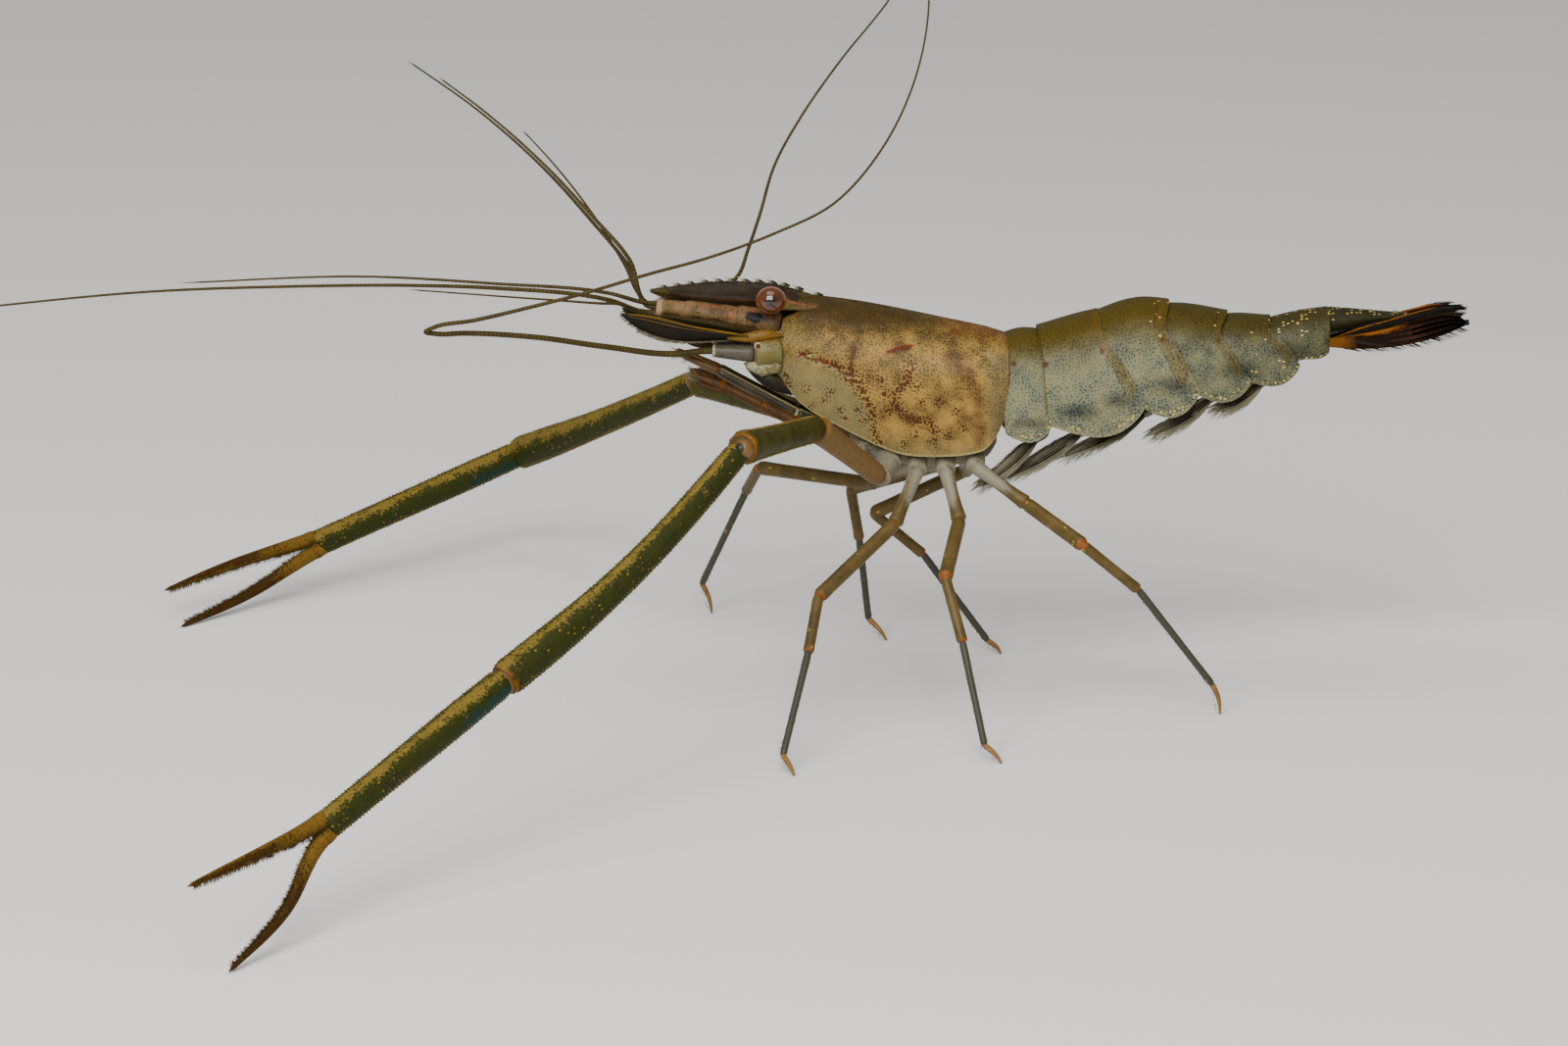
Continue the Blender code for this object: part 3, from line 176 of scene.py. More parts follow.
# The way toward the viewer. The pincer legs' angles are counted round it, from the upper edge seen from there
LOOK = (0.0, -0.97, 0.26)
LEGS = {
    ("left", 3): ((-12.2, -10.0, 21.9), (-20.5, -18.0, 15.9), (-21.6, -22.5, 11.0), (-24.3, -30.0, 1.8),
                  (-23.1, -31.8, 0.1)),
    ("left", 4): ((-5.2, -9.0, 22.0), (-6.9, -18.5, 18.2), (-5.1, -22.0, 12.0), (-2.8, -26.3, 1.8),
                  (-1.0, -27.3, 0.1)),
    ("left", 5): ((2.1, -7.5, 23.5), (8.0, -14.0, 20.6), (14.1, -12.5, 15.2), (22.5, -9.0, 3.5),
                  (23.4, -8.8, 0.1)),
    ("right", 3): ((-14.6, 11.5, 20.8), (-27.0, 20.0, 20.4), (-28.5, 25.5, 16.2), (-33.6, 31.0, 3.8),
                   (-32.5, 31.7, 0.1)),
    ("right", 4): ((-9.5, 10.0, 22.6), (-16.7, 18.0, 18.5), (-15.7, 20.0, 12.1), (-14.6, 21.5, 2.3),
                   (-12.6, 20.4, 0.1)),
    ("right", 5): ((-4.1, 8.0, 23.2), (-14.2, 14.0, 16.7), (-8.6, 14.5, 11.8), (-1.3, 15.0, 1.6),
                   (0.2, 14.8, 0.1)),
}
COXA_LENGTH = 2.0
# Radii near the start, in the middle and at the end of each length, first a walking leg's
LEG_RADII = ((1.1, 1.15, 0.95), (0.85, 0.72, 0.8), (0.76, 0.8, 0.74), (0.6, 0.6, 0.56), (0.42, 0.4, 0.36),
             (0.33, 0.26, 0.1))
ARM_RADII = ((1.35, 1.4, 1.2), (1.15, 1.2, 1.25), (1.15, 1.3, 1.4), (1.35, 1.5, 1.62))
FIRST_LEG_RADII = ((1.0, 1.0, 0.85), (0.8, 0.75, 0.75), (0.72, 0.72, 0.7), (0.68, 0.62, 0.6),
                   (0.58, 0.58, 0.6), (0.6, 0.5, 0.25))
STEM_RADII = ((1.5, 1.5, 1.32), (1.26, 1.22, 1.14), (1.08, 1.04, 0.95))
ANTENNA_RADII = ((1.75, 1.95, 1.65), (1.0, 0.85, 0.6))
MOUTH_LEG_RADII = ((0.8, 0.95, 0.85), (0.85, 0.8, 0.65), (0.65, 0.55, 0.25))

# Second legs: the ends of the basis, ischium, merus, carpus and palm, in the standing frame
CHELIPEDS = {
    "left": ((-13.9, -7.6, 26.6), (-20.7, -15.0, 33.8), (-28.6, -38.0, 37.5), (-52.5, -61.5, 19.3),
             (-69.2, -81.0, 10.2)),
    "right": ((-15.0, 7.5, 25.6), (-20.9, 15.0, 27.6), (-34.0, 28.0, 28.5), (-55.4, 56.0, 12.8),
              (-78.1, 40.0, 6.2)),
}
FINGERS = {
    "left": (((-75.2, -88.0, 9.6), (-82.0, -95.0, 8.3)), ((-72.9, -88.6, 3.9), (-78.0, -96.7, 0.15))),
    "right": (((-87.7, 35.0, 5.0), (-95.3, 30.0, 3.2)), ((-85.6, 33.4, 2.0), (-93.1, 25.6, 0.15))),
}
SPINULE_PITCH = 0.45
SPINULE_SPAN = (0.02, 0.98)
ARM_SPINULE_PITCH = 0.42
ARM_SPINULE_ANGLES = (0, 10, 24, 156, 168, 178, 190, 225, 270, 315, 350)
SPINULE_ANGLES = (0, 12, 30, 150, 164, 176, 200, 240, 280, 320)
CARPUS_BOW = {"left": (0.75, 0.0, -0.85), "right": (0.0, 0.0, -0.3)}
CARPUS_RADII = (1.3, 1.4, 1.48, 1.6, 1.82, 1.92)
PALM_RADII = (1.5, 1.58, 1.55, 1.5, 1.5)
FINGER_RADII = (0.8, 0.92, 0.84, 0.72, 0.6, 0.45, 0.2)
FINGER_OFFSET = 0.85

# First legs, slim, folded forward under the head
FIRST_LEG_LINE = ((-17.5, 4.3, 28.0), (-20.5, 5.0, 30.0), (-26.6, 4.7, 33.0), (-31.0, 4.3, 35.1),
                  (-34.3, 4.0, 36.3))
FIRST_FINGER_LINE = ((-30.4, 4.4, 34.4), (-31.7, 4.55, 34.7), (-34.0, 4.4, 35.6))

# Feelers in the standing frame, as points that each one passes after it leaves its stem
FEELERS = {
    "antenna_feeler_left": ((-35.7, -4.6, 39.5), (-43.4, -8.0, 41.1), (-50.9, -11.5, 43.0),
                            (-58.4, -13.9, 44.0),
                            (-61.3, -14.8, 44.15), (-62.4, -15.2, 44.45), (-61.6, -15.6, 45.0),
                            (-57.3, -15.2, 45.7),
                            (-50.8, -13.6, 46.9), (-46.5, -12.6, 47.8), (-38.3, -10.5, 49.8),
                            (-32.6, -9.2, 51.1),
                            (-25.2, -8.0, 53.6), (-18.9, -6.5, 56.5), (-13.7, -5.5, 62.3),
                            (-10.5, -5.0, 68.8),
                            (-8.7, -5.0, 79.5), (-11.2, -5.0, 91.0)),
    "antenna_feeler_right": ((-34.8, 6.3, 38.4), (-35.4, 8.4, 39.5), (-34.2, 10.2, 41.1), (-31.6, 11.7, 42.4),
                             (-29.2, 12.3, 44.4), (-28.2, 12.9, 47.0), (-26.9, 14.0, 50.7),
                             (-25.3, 16.0, 55.8),
                             (-22.0, 18.0, 61.5), (-18.2, 20.0, 66.6), (-12.2, 24.0, 73.5),
                             (-6.2, 30.0, 84.1)),
    "antennule_feeler_outer_left": ((-43.1, -2.6, 45.0), (-55.6, -5.0, 46.9), (-64.3, -6.8, 47.6),
                                    (-76.8, -9.0, 48.0), (-92.3, -12.0, 48.1), (-107.7, -15.0, 47.3),
                                    (-116.8, -17.0, 46.7)),
    "antennule_feeler_inner_left": ((-43.1, -1.1, 45.4), (-55.7, -2.0, 46.7), (-68.8, -2.6, 47.6),
                                    (-89.9, -3.5, 47.1)),
    "antennule_feeler_outer_right": ((-41.3, 4.2, 47.4), (-45.6, 6.4, 52.2), (-49.9, 8.4, 56.6),
                                     (-57.5, 10.9, 63.0), (-65.6, 13.0, 68.4)),
    "antennule_feeler_inner_right": ((-41.0, 2.8, 48.2), (-45.3, 4.4, 53.0), (-49.6, 6.0, 57.4),
                                     (-57.0, 8.6, 63.6), (-62.0, 10.4, 67.0)),
}
SHORT_BRANCHES = {
    "left": ((-40.2, -0.8, 43.4), (-42.2, -2.7, 44.6), (-44.0, -4.2, 45.0), (-48.2, -6.3, 45.8),
             (-54.0, -7.9, 46.6),
             (-64.6, -10.4, 48.0)),
    "right": ((-39.8, 4.0, 43.8), (-41.6, 5.9, 46.9), (-45.6, 8.9, 52.6), (-49.9, 12.0, 57.4),
              (-53.0, 13.8, 60.4)),
}
FEELER_NODES = {"antenna_feeler_%s" % name: ("antenna_feeler_1_%s" % name, "antenna_feeler_2_%s" % name)
                for name, side in SIDES}
FEELER_STEPS = 8
FEELER_SPREAD = {"left": (0.0, 0.0, -0.55), "right": (0.0, 0.55, 0.0)}

# Tail fan: X, distance from the middle and height of each blade's outer edge, and the same of its inner edge
TELSON = ((34.6, 41.9, 2.5, 1.6), (37.0, 42.05, 2.2, 1.3), (40.0, 42.3, 1.8, 0.8), (42.5, 42.4, 1.3, 0.5),
          (43.9, 42.4, 0.8, 0.35), (44.4, 42.4, 0.4, 0.2))
UROPOD_INNER = ((35.0, 2.0, 39.8, 0.5, 39.7), (38.0, 2.7, 41.0, 0.6, 40.1), (41.0, 3.3, 41.9, 0.8, 40.9),
                (44.0, 3.5, 42.8, 1.0, 41.7), (46.6, 3.2, 43.4, 1.2, 42.4), (48.2, 2.8, 43.5, 1.6, 42.9),
                (48.9, 2.4, 43.5, 2.0, 43.2))
UROPOD_OUTER = ((35.0, 3.2, 39.2, 2.35, 39.4), (38.0, 4.4, 39.1, 3.1, 40.4), (41.0, 5.4, 39.3, 3.7, 41.2),
                (44.0, 5.8, 39.8, 4.0, 42.0), (47.0, 5.6, 40.6, 3.8, 42.7), (49.0, 5.1, 41.4, 4.0, 42.6),
                (49.7, 4.7, 41.7, 4.3, 42.2))
# The X that no bristle of the fan reaches past
FRINGE_END = 50.1
# How much deeper the outer blades' stout bases are, at a share of the blade
UROPOD_BELLY = ((0.0, 0.85), (0.2, 0.6), (0.4, 0.15), (0.6, 0.0))

# Swimming legs under the first five rings: how far forward and down their tips reach, and their two leaves
PLEOPOD_REACH = ((-6.5, -5.4), (-9.0, -5.2), (-9.0, -4.8), (-6.5, -4.0), (-5.0, -3.0))
PLEOPOD_STEM_PLACE = 2.4
PLEOPOD_STEM_RADII = (0.7, 0.95, 0.9, 0.7)
PLEOPOD_LEAVES = ((3.2, 1.0, 0.95), (1.5, 0.8, 0.8))

# Grid steps along and across the finest plates, and how many bristles each kind of place has
CARAPACE_GRID = (140, 150)
ROSTRUM_GRID = (90, 28)
RING_GRID = (44, 96)
HAIR_COUNTS = {"rostrum": 420, "stem": 260, "scale": 420, "mouth leg": 240, "blade": 560,
               "swimming leaf": 230, "leg": 200, "finger": 1500, "first leg": 140}


# Small calculations

def read(line, x):
    """The smooth value at x of a line that passes through its stations (x, value)."""
    if x <= line[0][0]:
        return line[0][1]
    if x >= line[-1][0]:
        return line[-1][1]
    at = max(i for i in range(len(line) - 1) if line[i][0] <= x)

    def slope(i):
        before, after = max(i - 1, 0), min(i + 1, len(line) - 1)
        return (line[after][1] - line[before][1]) / (line[after][0] - line[before][0])

    span = line[at + 1][0] - line[at][0]
    t = (x - line[at][0]) / span
    rise = line[at + 1][1] - line[at][1]
    start, end = slope(at) * span, slope(at + 1) * span
    return line[at][1] + t * (start + t * (3 * rise - 2 * start - end + t * (start + end - 2 * rise)))


def column(table, index):
    return [(row[0], row[index]) for row in table]


def mix(a, b, t):
    return a + (b - a) * t


def step(low, high, value):
    """0 below low, 1 above high, and smooth between."""
    t = min(max((value - low) / (high - low), 0.0), 1.0)
    return t * t * (3 - 2 * t)


def bell(distance, width):
    return math.exp(-(distance / width) ** 2)


def lean(point):
    """A body point's place in the standing frame."""
    x, y, z = point
    height = z - LEAN_HEIGHT
    return Vector((x, y * math.cos(LEAN) + height * math.sin(LEAN),
                   LEAN_HEIGHT - y * math.sin(LEAN) + height * math.cos(LEAN)))


def mirrored(point, side):
    return Vector((point[0], point[1] * side, point[2]))


def paired(points, side):
    """The points of a line of the right half, on either side."""
    return [mirrored(point, side) for point in points]


def around(share):
    """The cosine and sine of a share of a full turn."""
    angle = 2 * math.pi * share
    return math.cos(angle), math.sin(angle)


def distances(path):
    """How far along a path each of its points is."""
    made = [0.0]
    for a, b in zip(path, path[1:]):
        made.append(made[-1] + (b - a).length)
    return made


def smooth_path(points, steps):
    """Points on a smooth curve through the given ones, with a number of steps between each pair."""
    spans = [(b - a).length for a, b in zip(points, points[1:])]
    ways = [(b - a) / span for a, b, span in zip(points, points[1:], spans)]
    turns = [ways[0]]
    for i in range(1, len(ways)):
        turns.append((ways[i] * spans[i - 1] + ways[i - 1] * spans[i]) / (spans[i - 1] + spans[i]))
    turns.append(ways[-1])
    path = []
    for i, span in enumerate(spans):
        for k in range(steps):
            t = k / steps
            path.append(points[i] * (1 - 3 * t * t + 2 * t ** 3) + points[i + 1] * (3 * t * t - 2 * t ** 3)
                        + turns[i] * span * t * (1 - t) ** 2 - turns[i + 1] * span * t * t * (1 - t))
    return path + [points[-1]]


def line_distance(line, x, z):
    """How far a point is from a line of straight lengths."""
    nearest = 1e9
    for (ax, az), (bx, bz) in zip(line, line[1:]):
        dx, dz = bx - ax, bz - az
        t = min(max(((x - ax) * dx + (z - az) * dz) / (dx * dx + dz * dz), 0.0), 1.0)
        nearest = min(nearest, math.hypot(x - ax - dx * t, z - az - dz * t))
    return nearest


def near_spots(spots, x, z, width, share=1.0):
    """How near a point is to the nearest of some spots, from the share at one down to 0."""
    return max(share * bell(math.hypot(x - spot[0], z - spot[1]), width) for spot in spots)


def near_lines(lines, x, z, widen=1.0, share=1.0):
    """The same for lines that are given with their half-widths."""
    return max(share * bell(line_distance(line, x, z), half * widen) for line, half in lines)


# Materials

def linear(code):
    """A colour from its sRGB hex code."""
    channels = [int(code[i:i + 2], 16) / 255 for i in (1, 3, 5)]
    return (*[c / 12.92 if c <= 0.04045 else ((c + 0.055) / 1.055) ** 2.4 for c in channels], 1.0)


def add(tree, kind, inputs=None, **settings):
    """Adds a node with its settings, plain values and links, and gives its outputs."""
    made = tree.nodes.new("ShaderNode" + kind)
    for key, value in settings.items():
        setattr(made, key, value)
    for key, value in (inputs or {}).items():
        if isinstance(value, bpy.types.NodeSocket):
            tree.links.new(value, made.inputs[key])
        else:
            made.inputs[key].default_value = value
    return made.outputs


# What the dots turn into where they swell into marks
MARK_COLOUR = "#3e1304"


def empty_material(name):
    material = bpy.data.materials.new(name)
    material.use_nodes = True
    material.node_tree.nodes.clear()
    return material, material.node_tree


def chitin(name, base, shades=(), deep=None, dots=None, flecks=None, rings=None, rough=0.48, coat=0.03,
           shine=0.12, glow=0.0, bump=0.12, ragged=0.5):
    """Shell finish: a base colour, shades drawn by the piece's masks, fine dots, gold flecks and bump.

    shades: one (colour, low, high) for each mask in use. dots: colour, pitch and radius in mm, how much the
    first mask swells them, strength, and whether they lie on an unrolled sheet. flecks: colour, pitch and
    radius in mm, the least and greatest share of cells that show one, and whether they lie on a sheet.
    """
    material, tree = empty_material(name)
    place = add(tree, "Attribute", attribute_name="place")["Vector"]
    tone, trim, hue = [add(tree, "SeparateXYZ", {0: add(tree, "Attribute", attribute_name=key)["Vector"]})
                       for key in ("tone", "trim", "hue")]
    masks = [tone[0], tone[1], tone[2], trim[0], trim[1], trim[2], hue[0], hue[1], hue[2]]
    cloud = add(tree, "TexNoise", {"Vector": place, "Scale": 0.45, "Detail": 4.0, "Roughness": 0.6})[0]
    fine = add(tree, "TexNoise", {"Vector": place, "Scale": 3.2, "Detail": 3.0, "Roughness": 0.65})[0]
    grain = add(tree, "TexNoise", {"Vector": place, "Scale": 9.0, "Detail": 2.0})[0]

    def maths(operation, *values):
        return add(tree, "Math", dict(enumerate(values)), operation=operation)[0]

    def ranged(value, low=0.0, high=1.0, start=0.0, end=1.0, kind="LINEAR"):
        inputs = {0: value, 1: low, 2: high, 3: start, 4: end}
        return add(tree, "MapRange", inputs, interpolation_type=kind)[0]

    def blend(share, under, over):
        over = linear(over) if isinstance(over, str) else over
        return add(tree, "Mix", {0: share, 6: under, 7: over}, data_type="RGBA")[2]

    broken = maths("SUBTRACT", fine, 0.5)
    uneven = maths("MULTIPLY_ADD", maths("SUBTRACT", cloud, 0.5), 0.7, broken)
    patchy = ranged(maths("MULTIPLY_ADD", broken, 0.2, cloud), 0.3, 0.7, kind="SMOOTHSTEP")
    colour = blend(patchy, linear(base), deep or base)
    for mask, shade in zip(masks, shades):
        if not shade:
            continue
        code, low, high = shade
        torn = maths("MULTIPLY_ADD", uneven, ragged, mask)
        colour = blend(ranged(torn, low, high, kind="SMOOTHSTEP"), colour, code)
    if rings:
        code, pitch, strength = rings
        along = add(tree, "SeparateXYZ", {0: place})[0]
        wave = maths("SINE", maths("MULTIPLY", along, 2 * math.pi / pitch))
        colour = blend(ranged(wave, 0.2, 1.0, end=strength), colour, code)
    if dots:
        code, pitch, radius, swell, strength, flat = dots
        cell = add(tree, "TexVoronoi", {"Vector": place, "Scale": 1 / pitch, "Randomness": 0.8},
                   voronoi_dimensions="2D" if flat else "3D")["Distance"]
        size = maths("MULTIPLY", trim[2], radius / pitch)
        for mask, weight in ((tone[0], swell / pitch), (broken, 0.15), (patchy, 0.1)):
            size = maths("MULTIPLY_ADD", mask, weight, size)
        share = ranged(maths("SUBTRACT", size, cell), 0.02, 0.16, end=strength)
        colour = blend(share, colour, blend(tone[0], linear(code), MARK_COLOUR) if swell else code)
    if flecks:
        code, pitch, radius, low, high, flat = flecks
        long = add(tree, "VectorMath", {0: place, 1: (0.6, 1.0, 1.0)}, operation="MULTIPLY")[0]
        voronoi = add(tree, "TexVoronoi", {"Vector": long, "Scale": 1 / pitch, "Randomness": 1.0},
                      voronoi_dimensions="2D" if flat else "3D")
        drawn = add(tree, "SeparateXYZ", {0: voronoi["Color"]})[0]
        shown = maths("LESS_THAN", drawn, ranged(trim[1], start=low, end=high))
        inside = maths("LESS_THAN", voronoi["Distance"], radius / pitch)
        colour = blend(maths("MULTIPLY", shown, inside), colour, code)
    relief = maths("MULTIPLY_ADD", fine, 0.6, grain)
    normal = add(tree, "Bump", {"Strength": bump, "Distance": 0.0002, "Height": relief})[0]
    gloss = ranged(grain, 0.3, 0.7, rough * 0.85, min(rough * 1.3, 1.0))
    shader = add(tree, "BsdfPrincipled", {
        "Base Color": colour, "Roughness": gloss, "Normal": normal, "IOR": 1.5, "Specular IOR Level": shine,
        "Coat Weight": coat, "Coat Roughness": 0.14, "Subsurface Weight": glow,
        "Subsurface Radius": (1.0, 0.75, 0.45), "Subsurface Scale": 0.0006})[0]
    add(tree, "OutputMaterial", {"Surface": shader})
    return material


# Translucent carapace: golden tan, dark olive back, greyer lower front, dots that gather into red-brown lines
CARAPACE_SHELL = chitin(
    "translucent carapace shell", "#967638", deep="#5c4822",
    shades=(("#7a4416", 0.9, 1.5), ("#3c2e10", 0.1, 1.05), ("#726a46", 0.0, 1.5), ("#958a58", 0.4, 0.9),
            ("#7c340e", 0.35, 0.85), None, ("#54481a", 0.1, 1.5), ("#4c3018", 0.2, 1.2),
             ("#442206", 0.4, 1.1)),
    dots=("#2a1604", 0.35, 0.085, 0.12, 0.9, True), glow=0.05, ragged=0.6)
# Dark glassy blade, faintly red along its side ridge; the teeth's pale tips are partly their own colour,
# partly a painted highlight
ROSTRUM_SHELL = chitin(
    "glassy brown rostrum blade", "#2a2010", deep="#1c150a",
    shades=(("#4a240c", 0.2, 1.1), ("#4c4220", 0.3, 0.9), ("#aaa48c", 0.35, 0.85), ("#5e4a28", 0.3, 1.2)),
    rough=0.5, shine=0.06, ragged=0.9)
# Abdomen plates: olive-yellow back, blue-grey sides with fine black dots, gold flecks near the lower edges,
# painted highlights mid-side
# The dark line at each ring's very rear edge is painted shadow of the shell's thick edge
ABDOMEN_SHELL = chitin(
    "dotted abdomen shell", "#7e7a58", deep="#646a5a",
    shades=(("#401a04", 0.4, 0.9), ("#4a3c08", 0.05, 1.0), ("#1c2226", 0.15, 1.0), ("#868262", 0.45, 0.95),
            None, None,
            ("#564208", 0.3, 0.9), ("#2a2a14", 0.0, 1.4), ("#1e1204", 0.4, 0.9)),
    dots=("#10140f", 0.36, 0.085, 0.0, 0.9, True), flecks=("#c4a456", 0.3, 0.09, 0.0, 0.7, True), glow=0.05)
# Head stalks: orange-brown, mottled with olive and salmon; the near-black is painted shadow in the hollow
# under the eye, and also darkens the eye stalks' tops
HEAD_SHELL = chitin(
    "mottled head stalk", "#785c38", deep="#42301a",
    shades=(("#885236", 0.35, 1.0), ("#6a5c34", 0.35, 1.0), ("#070607", 0.3, 0.8), ("#a88a64", 0.5, 0.9),
            None, None,
            ("#6c6234", 0.3, 0.9)),
    dots=("#2a1204", 0.36, 0.1, 0.0, 0.8, False), ragged=1.1)
ANTENNA_SHELL = chitin(
    "pale green-grey antenna base", "#5a4f22", deep="#6e6640",
    shades=(("#4e2408", 0.4, 0.9), ("#6a4c10", 0.3, 0.9), ("#4a4438", 0.3, 0.9), ("#9a9474", 0.5, 0.9)),
    dots=("#241604", 0.36, 0.1, 0.0, 0.75, False), rough=0.4, shine=0.2, ragged=1.1)
MOUTH_LEG_SHELL = chitin(
    "clear grey-brown mouth leg", "#40391f", deep="#2c2612",
    shades=(("#5c3c14", 0.4, 0.9), ("#8a805a", 0.35, 0.85), ("#181209", 0.3, 0.9), ("#a8946c", 0.5, 0.9)),
    rough=0.4, shine=0.25, ragged=0.6)
FIRST_LEG_SHELL = chitin(
    "brown first leg", "#452a0a", deep="#301d06",
    shades=(("#6a3a0a", 0.35, 0.9), ("#7a725a", 0.35, 0.9), ("#4a3c0e", 0.3, 0.9)),
    dots=("#1a0a02", 0.36, 0.1, 0.0, 0.8, False), ragged=1.0)
# Thin blades: dark and clear, gold along the ribs
SCALE_SHELL = chitin(
    "clear brown antennal scale", "#1e170a", deep="#151006",
    shades=(("#7e5c16", 0.35, 0.8), ("#40380f", 0.3, 0.9), ("#3c2a0c", 0.3, 1.0)),
    rough=0.55, shine=0.06, ragged=0.3)
FAN_SHELL = chitin(
    "dark brown tail fan", "#1a0a02", deep="#0c0502",
    shades=(("#824a14", 0.3, 0.85), ("#5c380e", 0.25, 0.9), ("#070402", 0.4, 0.95), ("#361806", 0.5, 0.95)),
    rough=0.6, shine=0.04, ragged=0.7)
# Legs: clear greyish hips with a painted sheen along their sides, olive-brown lengths with orange joints,
# blue-grey last lengths
LEG_SHELL = chitin(
    "olive-brown leg shell", "#5c4a24", deep="#463816",
    shades=(("#7a4412", 0.35, 0.9), ("#78725e", 0.3, 0.8), ("#3a3a2e", 0.3, 0.9), ("#8a6230", 0.4, 0.9),
            None, None,
            ("#6c6656", 0.3, 0.9)),
    flecks=("#a07c2c", 0.6, 0.12, 0.2, 0.3, False), rough=0.42, shine=0.2, ragged=0.8)
# Pincer legs: olive green with a torn golden band along the upper side
OLIVE_SHELL = chitin(
    "olive pincer shell", "#2c2f08", deep="#232808",
    shades=(("#6a3e0c", 0.35, 0.9), ("#746024", 0.3, 0.85), ("#12302a", 0.3, 0.9), ("#8a5220", 0.4, 0.9)),
    dots=("#0e1204", 0.4, 0.1, 0.0, 0.7, False), flecks=("#84681c", 0.36, 0.09, 0.1, 0.3, False),
    rough=0.55, shine=0.1, bump=0.5, ragged=2.6)
ARM_SHELL = chitin(
    "olive and tan arm shell", "#42400f", deep="#30300b",
    shades=(("#6c5230", 0.4, 0.8), ("#6a5410", 0.38, 0.65), ("#70460f", 0.4, 0.8), ("#78725e", 0.4, 0.7)),
    dots=("#141404", 0.4, 0.09, 0.0, 0.6, False), flecks=("#84681c", 0.36, 0.09, 0.08, 0.25, False),
    rough=0.5, shine=0.12, bump=0.4, ragged=1.1)
FINGER_SHELL = chitin(
    "brown pincer finger", "#3a2204", deep="#281803",
    shades=(("#6c5016", 0.35, 0.8), ("#4a380e", 0.3, 0.9)), rough=0.55, shine=0.08, bump=0.4, ragged=1.4)
JOINT_SKIN = chitin("horny joint skin", "#4e3a10", deep="#382a0c",
                    shades=(("#6a4c1e", 0.4, 0.9), ("#22211c", 0.4, 0.9)), rough=0.35, shine=0.3)
FEELER_SHELL = chitin("ringed feeler", "#4a3e1c", deep="#3a3016", rings=("#261d08", 0.45, 0.7),
                      rough=0.55, shine=0.1)
PLEOPOD_SHELL = chitin(
    "clear pale swimming leg", "#6a6450", deep="#504b3a",
    shades=(("#383426", 0.3, 0.9), ("#8a8672", 0.4, 0.9)), rough=0.45, shine=0.2)
FLESH = chitin("dim inner body", "#544420", deep="#3e3216", shades=(None, ("#6a6048", 0.3, 0.9)), rough=0.5)
PALE_BRISTLE = chitin("pale bristle", "#827b62", deep="#67604a", rough=0.5, shine=0.15, bump=0.0)
BROWN_BRISTLE = chitin("brown bristle", "#54442a", deep="#403218", rough=0.5, shine=0.1, bump=0.0)
DARK_BRISTLE = chitin("dark bristle", "#22180b", deep="#150e05", rough=0.5, shine=0.1, bump=0.0)
GOLD_SPINE = chitin("pale spinule", "#7e6a2a", deep="#5e4c18", rough=0.5, bump=0.0)
# The eye: clear skin over a dark amber ball; its paler rim is painted light through the clear skin, its outer
# middle darker
CORNEA = chitin("amber cornea", "#54290c", deep="#462008",
                shades=(("#8a4c28", 0.3, 0.95), ("#1a0c06", 0.3, 0.9)),
                rough=0.07, coat=0.6, shine=0.5, bump=0.0, ragged=0.15, glow=0.05)


# Making pieces

def put(name, data):
    """A new object in the scene."""
    thing = bpy.data.objects.new(name, data)
    bpy.context.scene.collection.objects.link(thing)
    return thing


def piece(name, shape, material, leaning=True, replaces=()):
    """An object from a bmesh in millimetres, put in its place, facing out, and tied to the frame."""
    bmesh.ops.recalc_face_normals(shape, faces=shape.faces)
    for vert in shape.verts:
        vert.co = ((lean(vert.co) if leaning else vert.co) + ORIGIN) * MM
    mesh = bpy.data.meshes.new(name)
    shape.to_mesh(mesh)
    shape.free()
    mesh.shade_smooth()
    mesh.set_sharp_from_angle(angle=math.radians(SHARP_ANGLE))
    mesh.materials.append(material)
    thing = put(name, mesh)
    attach(thing, "root")
    if replaces:
        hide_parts(*replaces)
    return thing


def layers(shape):
    made = shape.verts.layers
    return [made.float_vector.get(key) or made.float_vector.new(key)
            for key in ("place", "tone", "trim", "hue")]


def surface(rows, columns, rule, shape=None):
    """A grid whose points a rule places; its meeting edges are merged."""
    whole = shape or bmesh.new()
    place, tone, trim, hue = layers(whole)
    made = bmesh.ops.create_grid(whole, x_segments=rows, y_segments=columns, size=1.0)["verts"]
    for vert in made:
        u = round((vert.co.x + 1) / 2 * rows) / rows
        v = round((vert.co.y + 1) / 2 * columns) / columns
        vert.co, vert[place], vert[tone], extra, *more = rule(u, v)
        vert[trim] = extra if isinstance(extra, Vector) else (extra, 0, 1)
        vert[hue] = more[0] if more else (0, 0, 0)
    bmesh.ops.remove_doubles(whole, verts=made, dist=0.002)
    return whole


def closed(shape):
    rims = [edge for edge in shape.edges if edge.is_boundary]
    if rims:
        bmesh.ops.holes_fill(shape, edges=rims, sides=0)
    return shape


def frames(path, reference):
    """For each point of a path: the point, the two directions across it, and its distance from the start."""
    reference = Vector(reference)
    rows, along = [], 0.0
    for i, point in enumerate(path):
        way = (path[min(i + 1, len(path) - 1)] - path[max(i - 1, 0)]).normalized()
        up = (reference - way * reference.dot(way)).normalized()
        if i:
            along += (point - path[i - 1]).length
        rows.append((point, way.cross(up), up, along))
    return rows


def limb(path, radii, columns=16, reference=(0, 0, 1), shade=None, flat=1.0, shape=None, edge=None):
    """A closed round limb along a path; shade gives its masks from the place along and round it."""
    rows = frames(path, reference)

    def rule(u, v):
        i = round(u * (len(path) - 1))
        point, side, up, along = rows[i]
        (c, s), r = around(v), radii[i]
        tones = shade(i, along, c, s) if shade else (0, 0, 0)
        return (point + side * (c * r) + up * (s * r * flat), Vector((along, c * r, s * r)), tones,
                edge[i] if edge else 0.0)

    return closed(surface(len(path) - 1, columns, rule, shape))


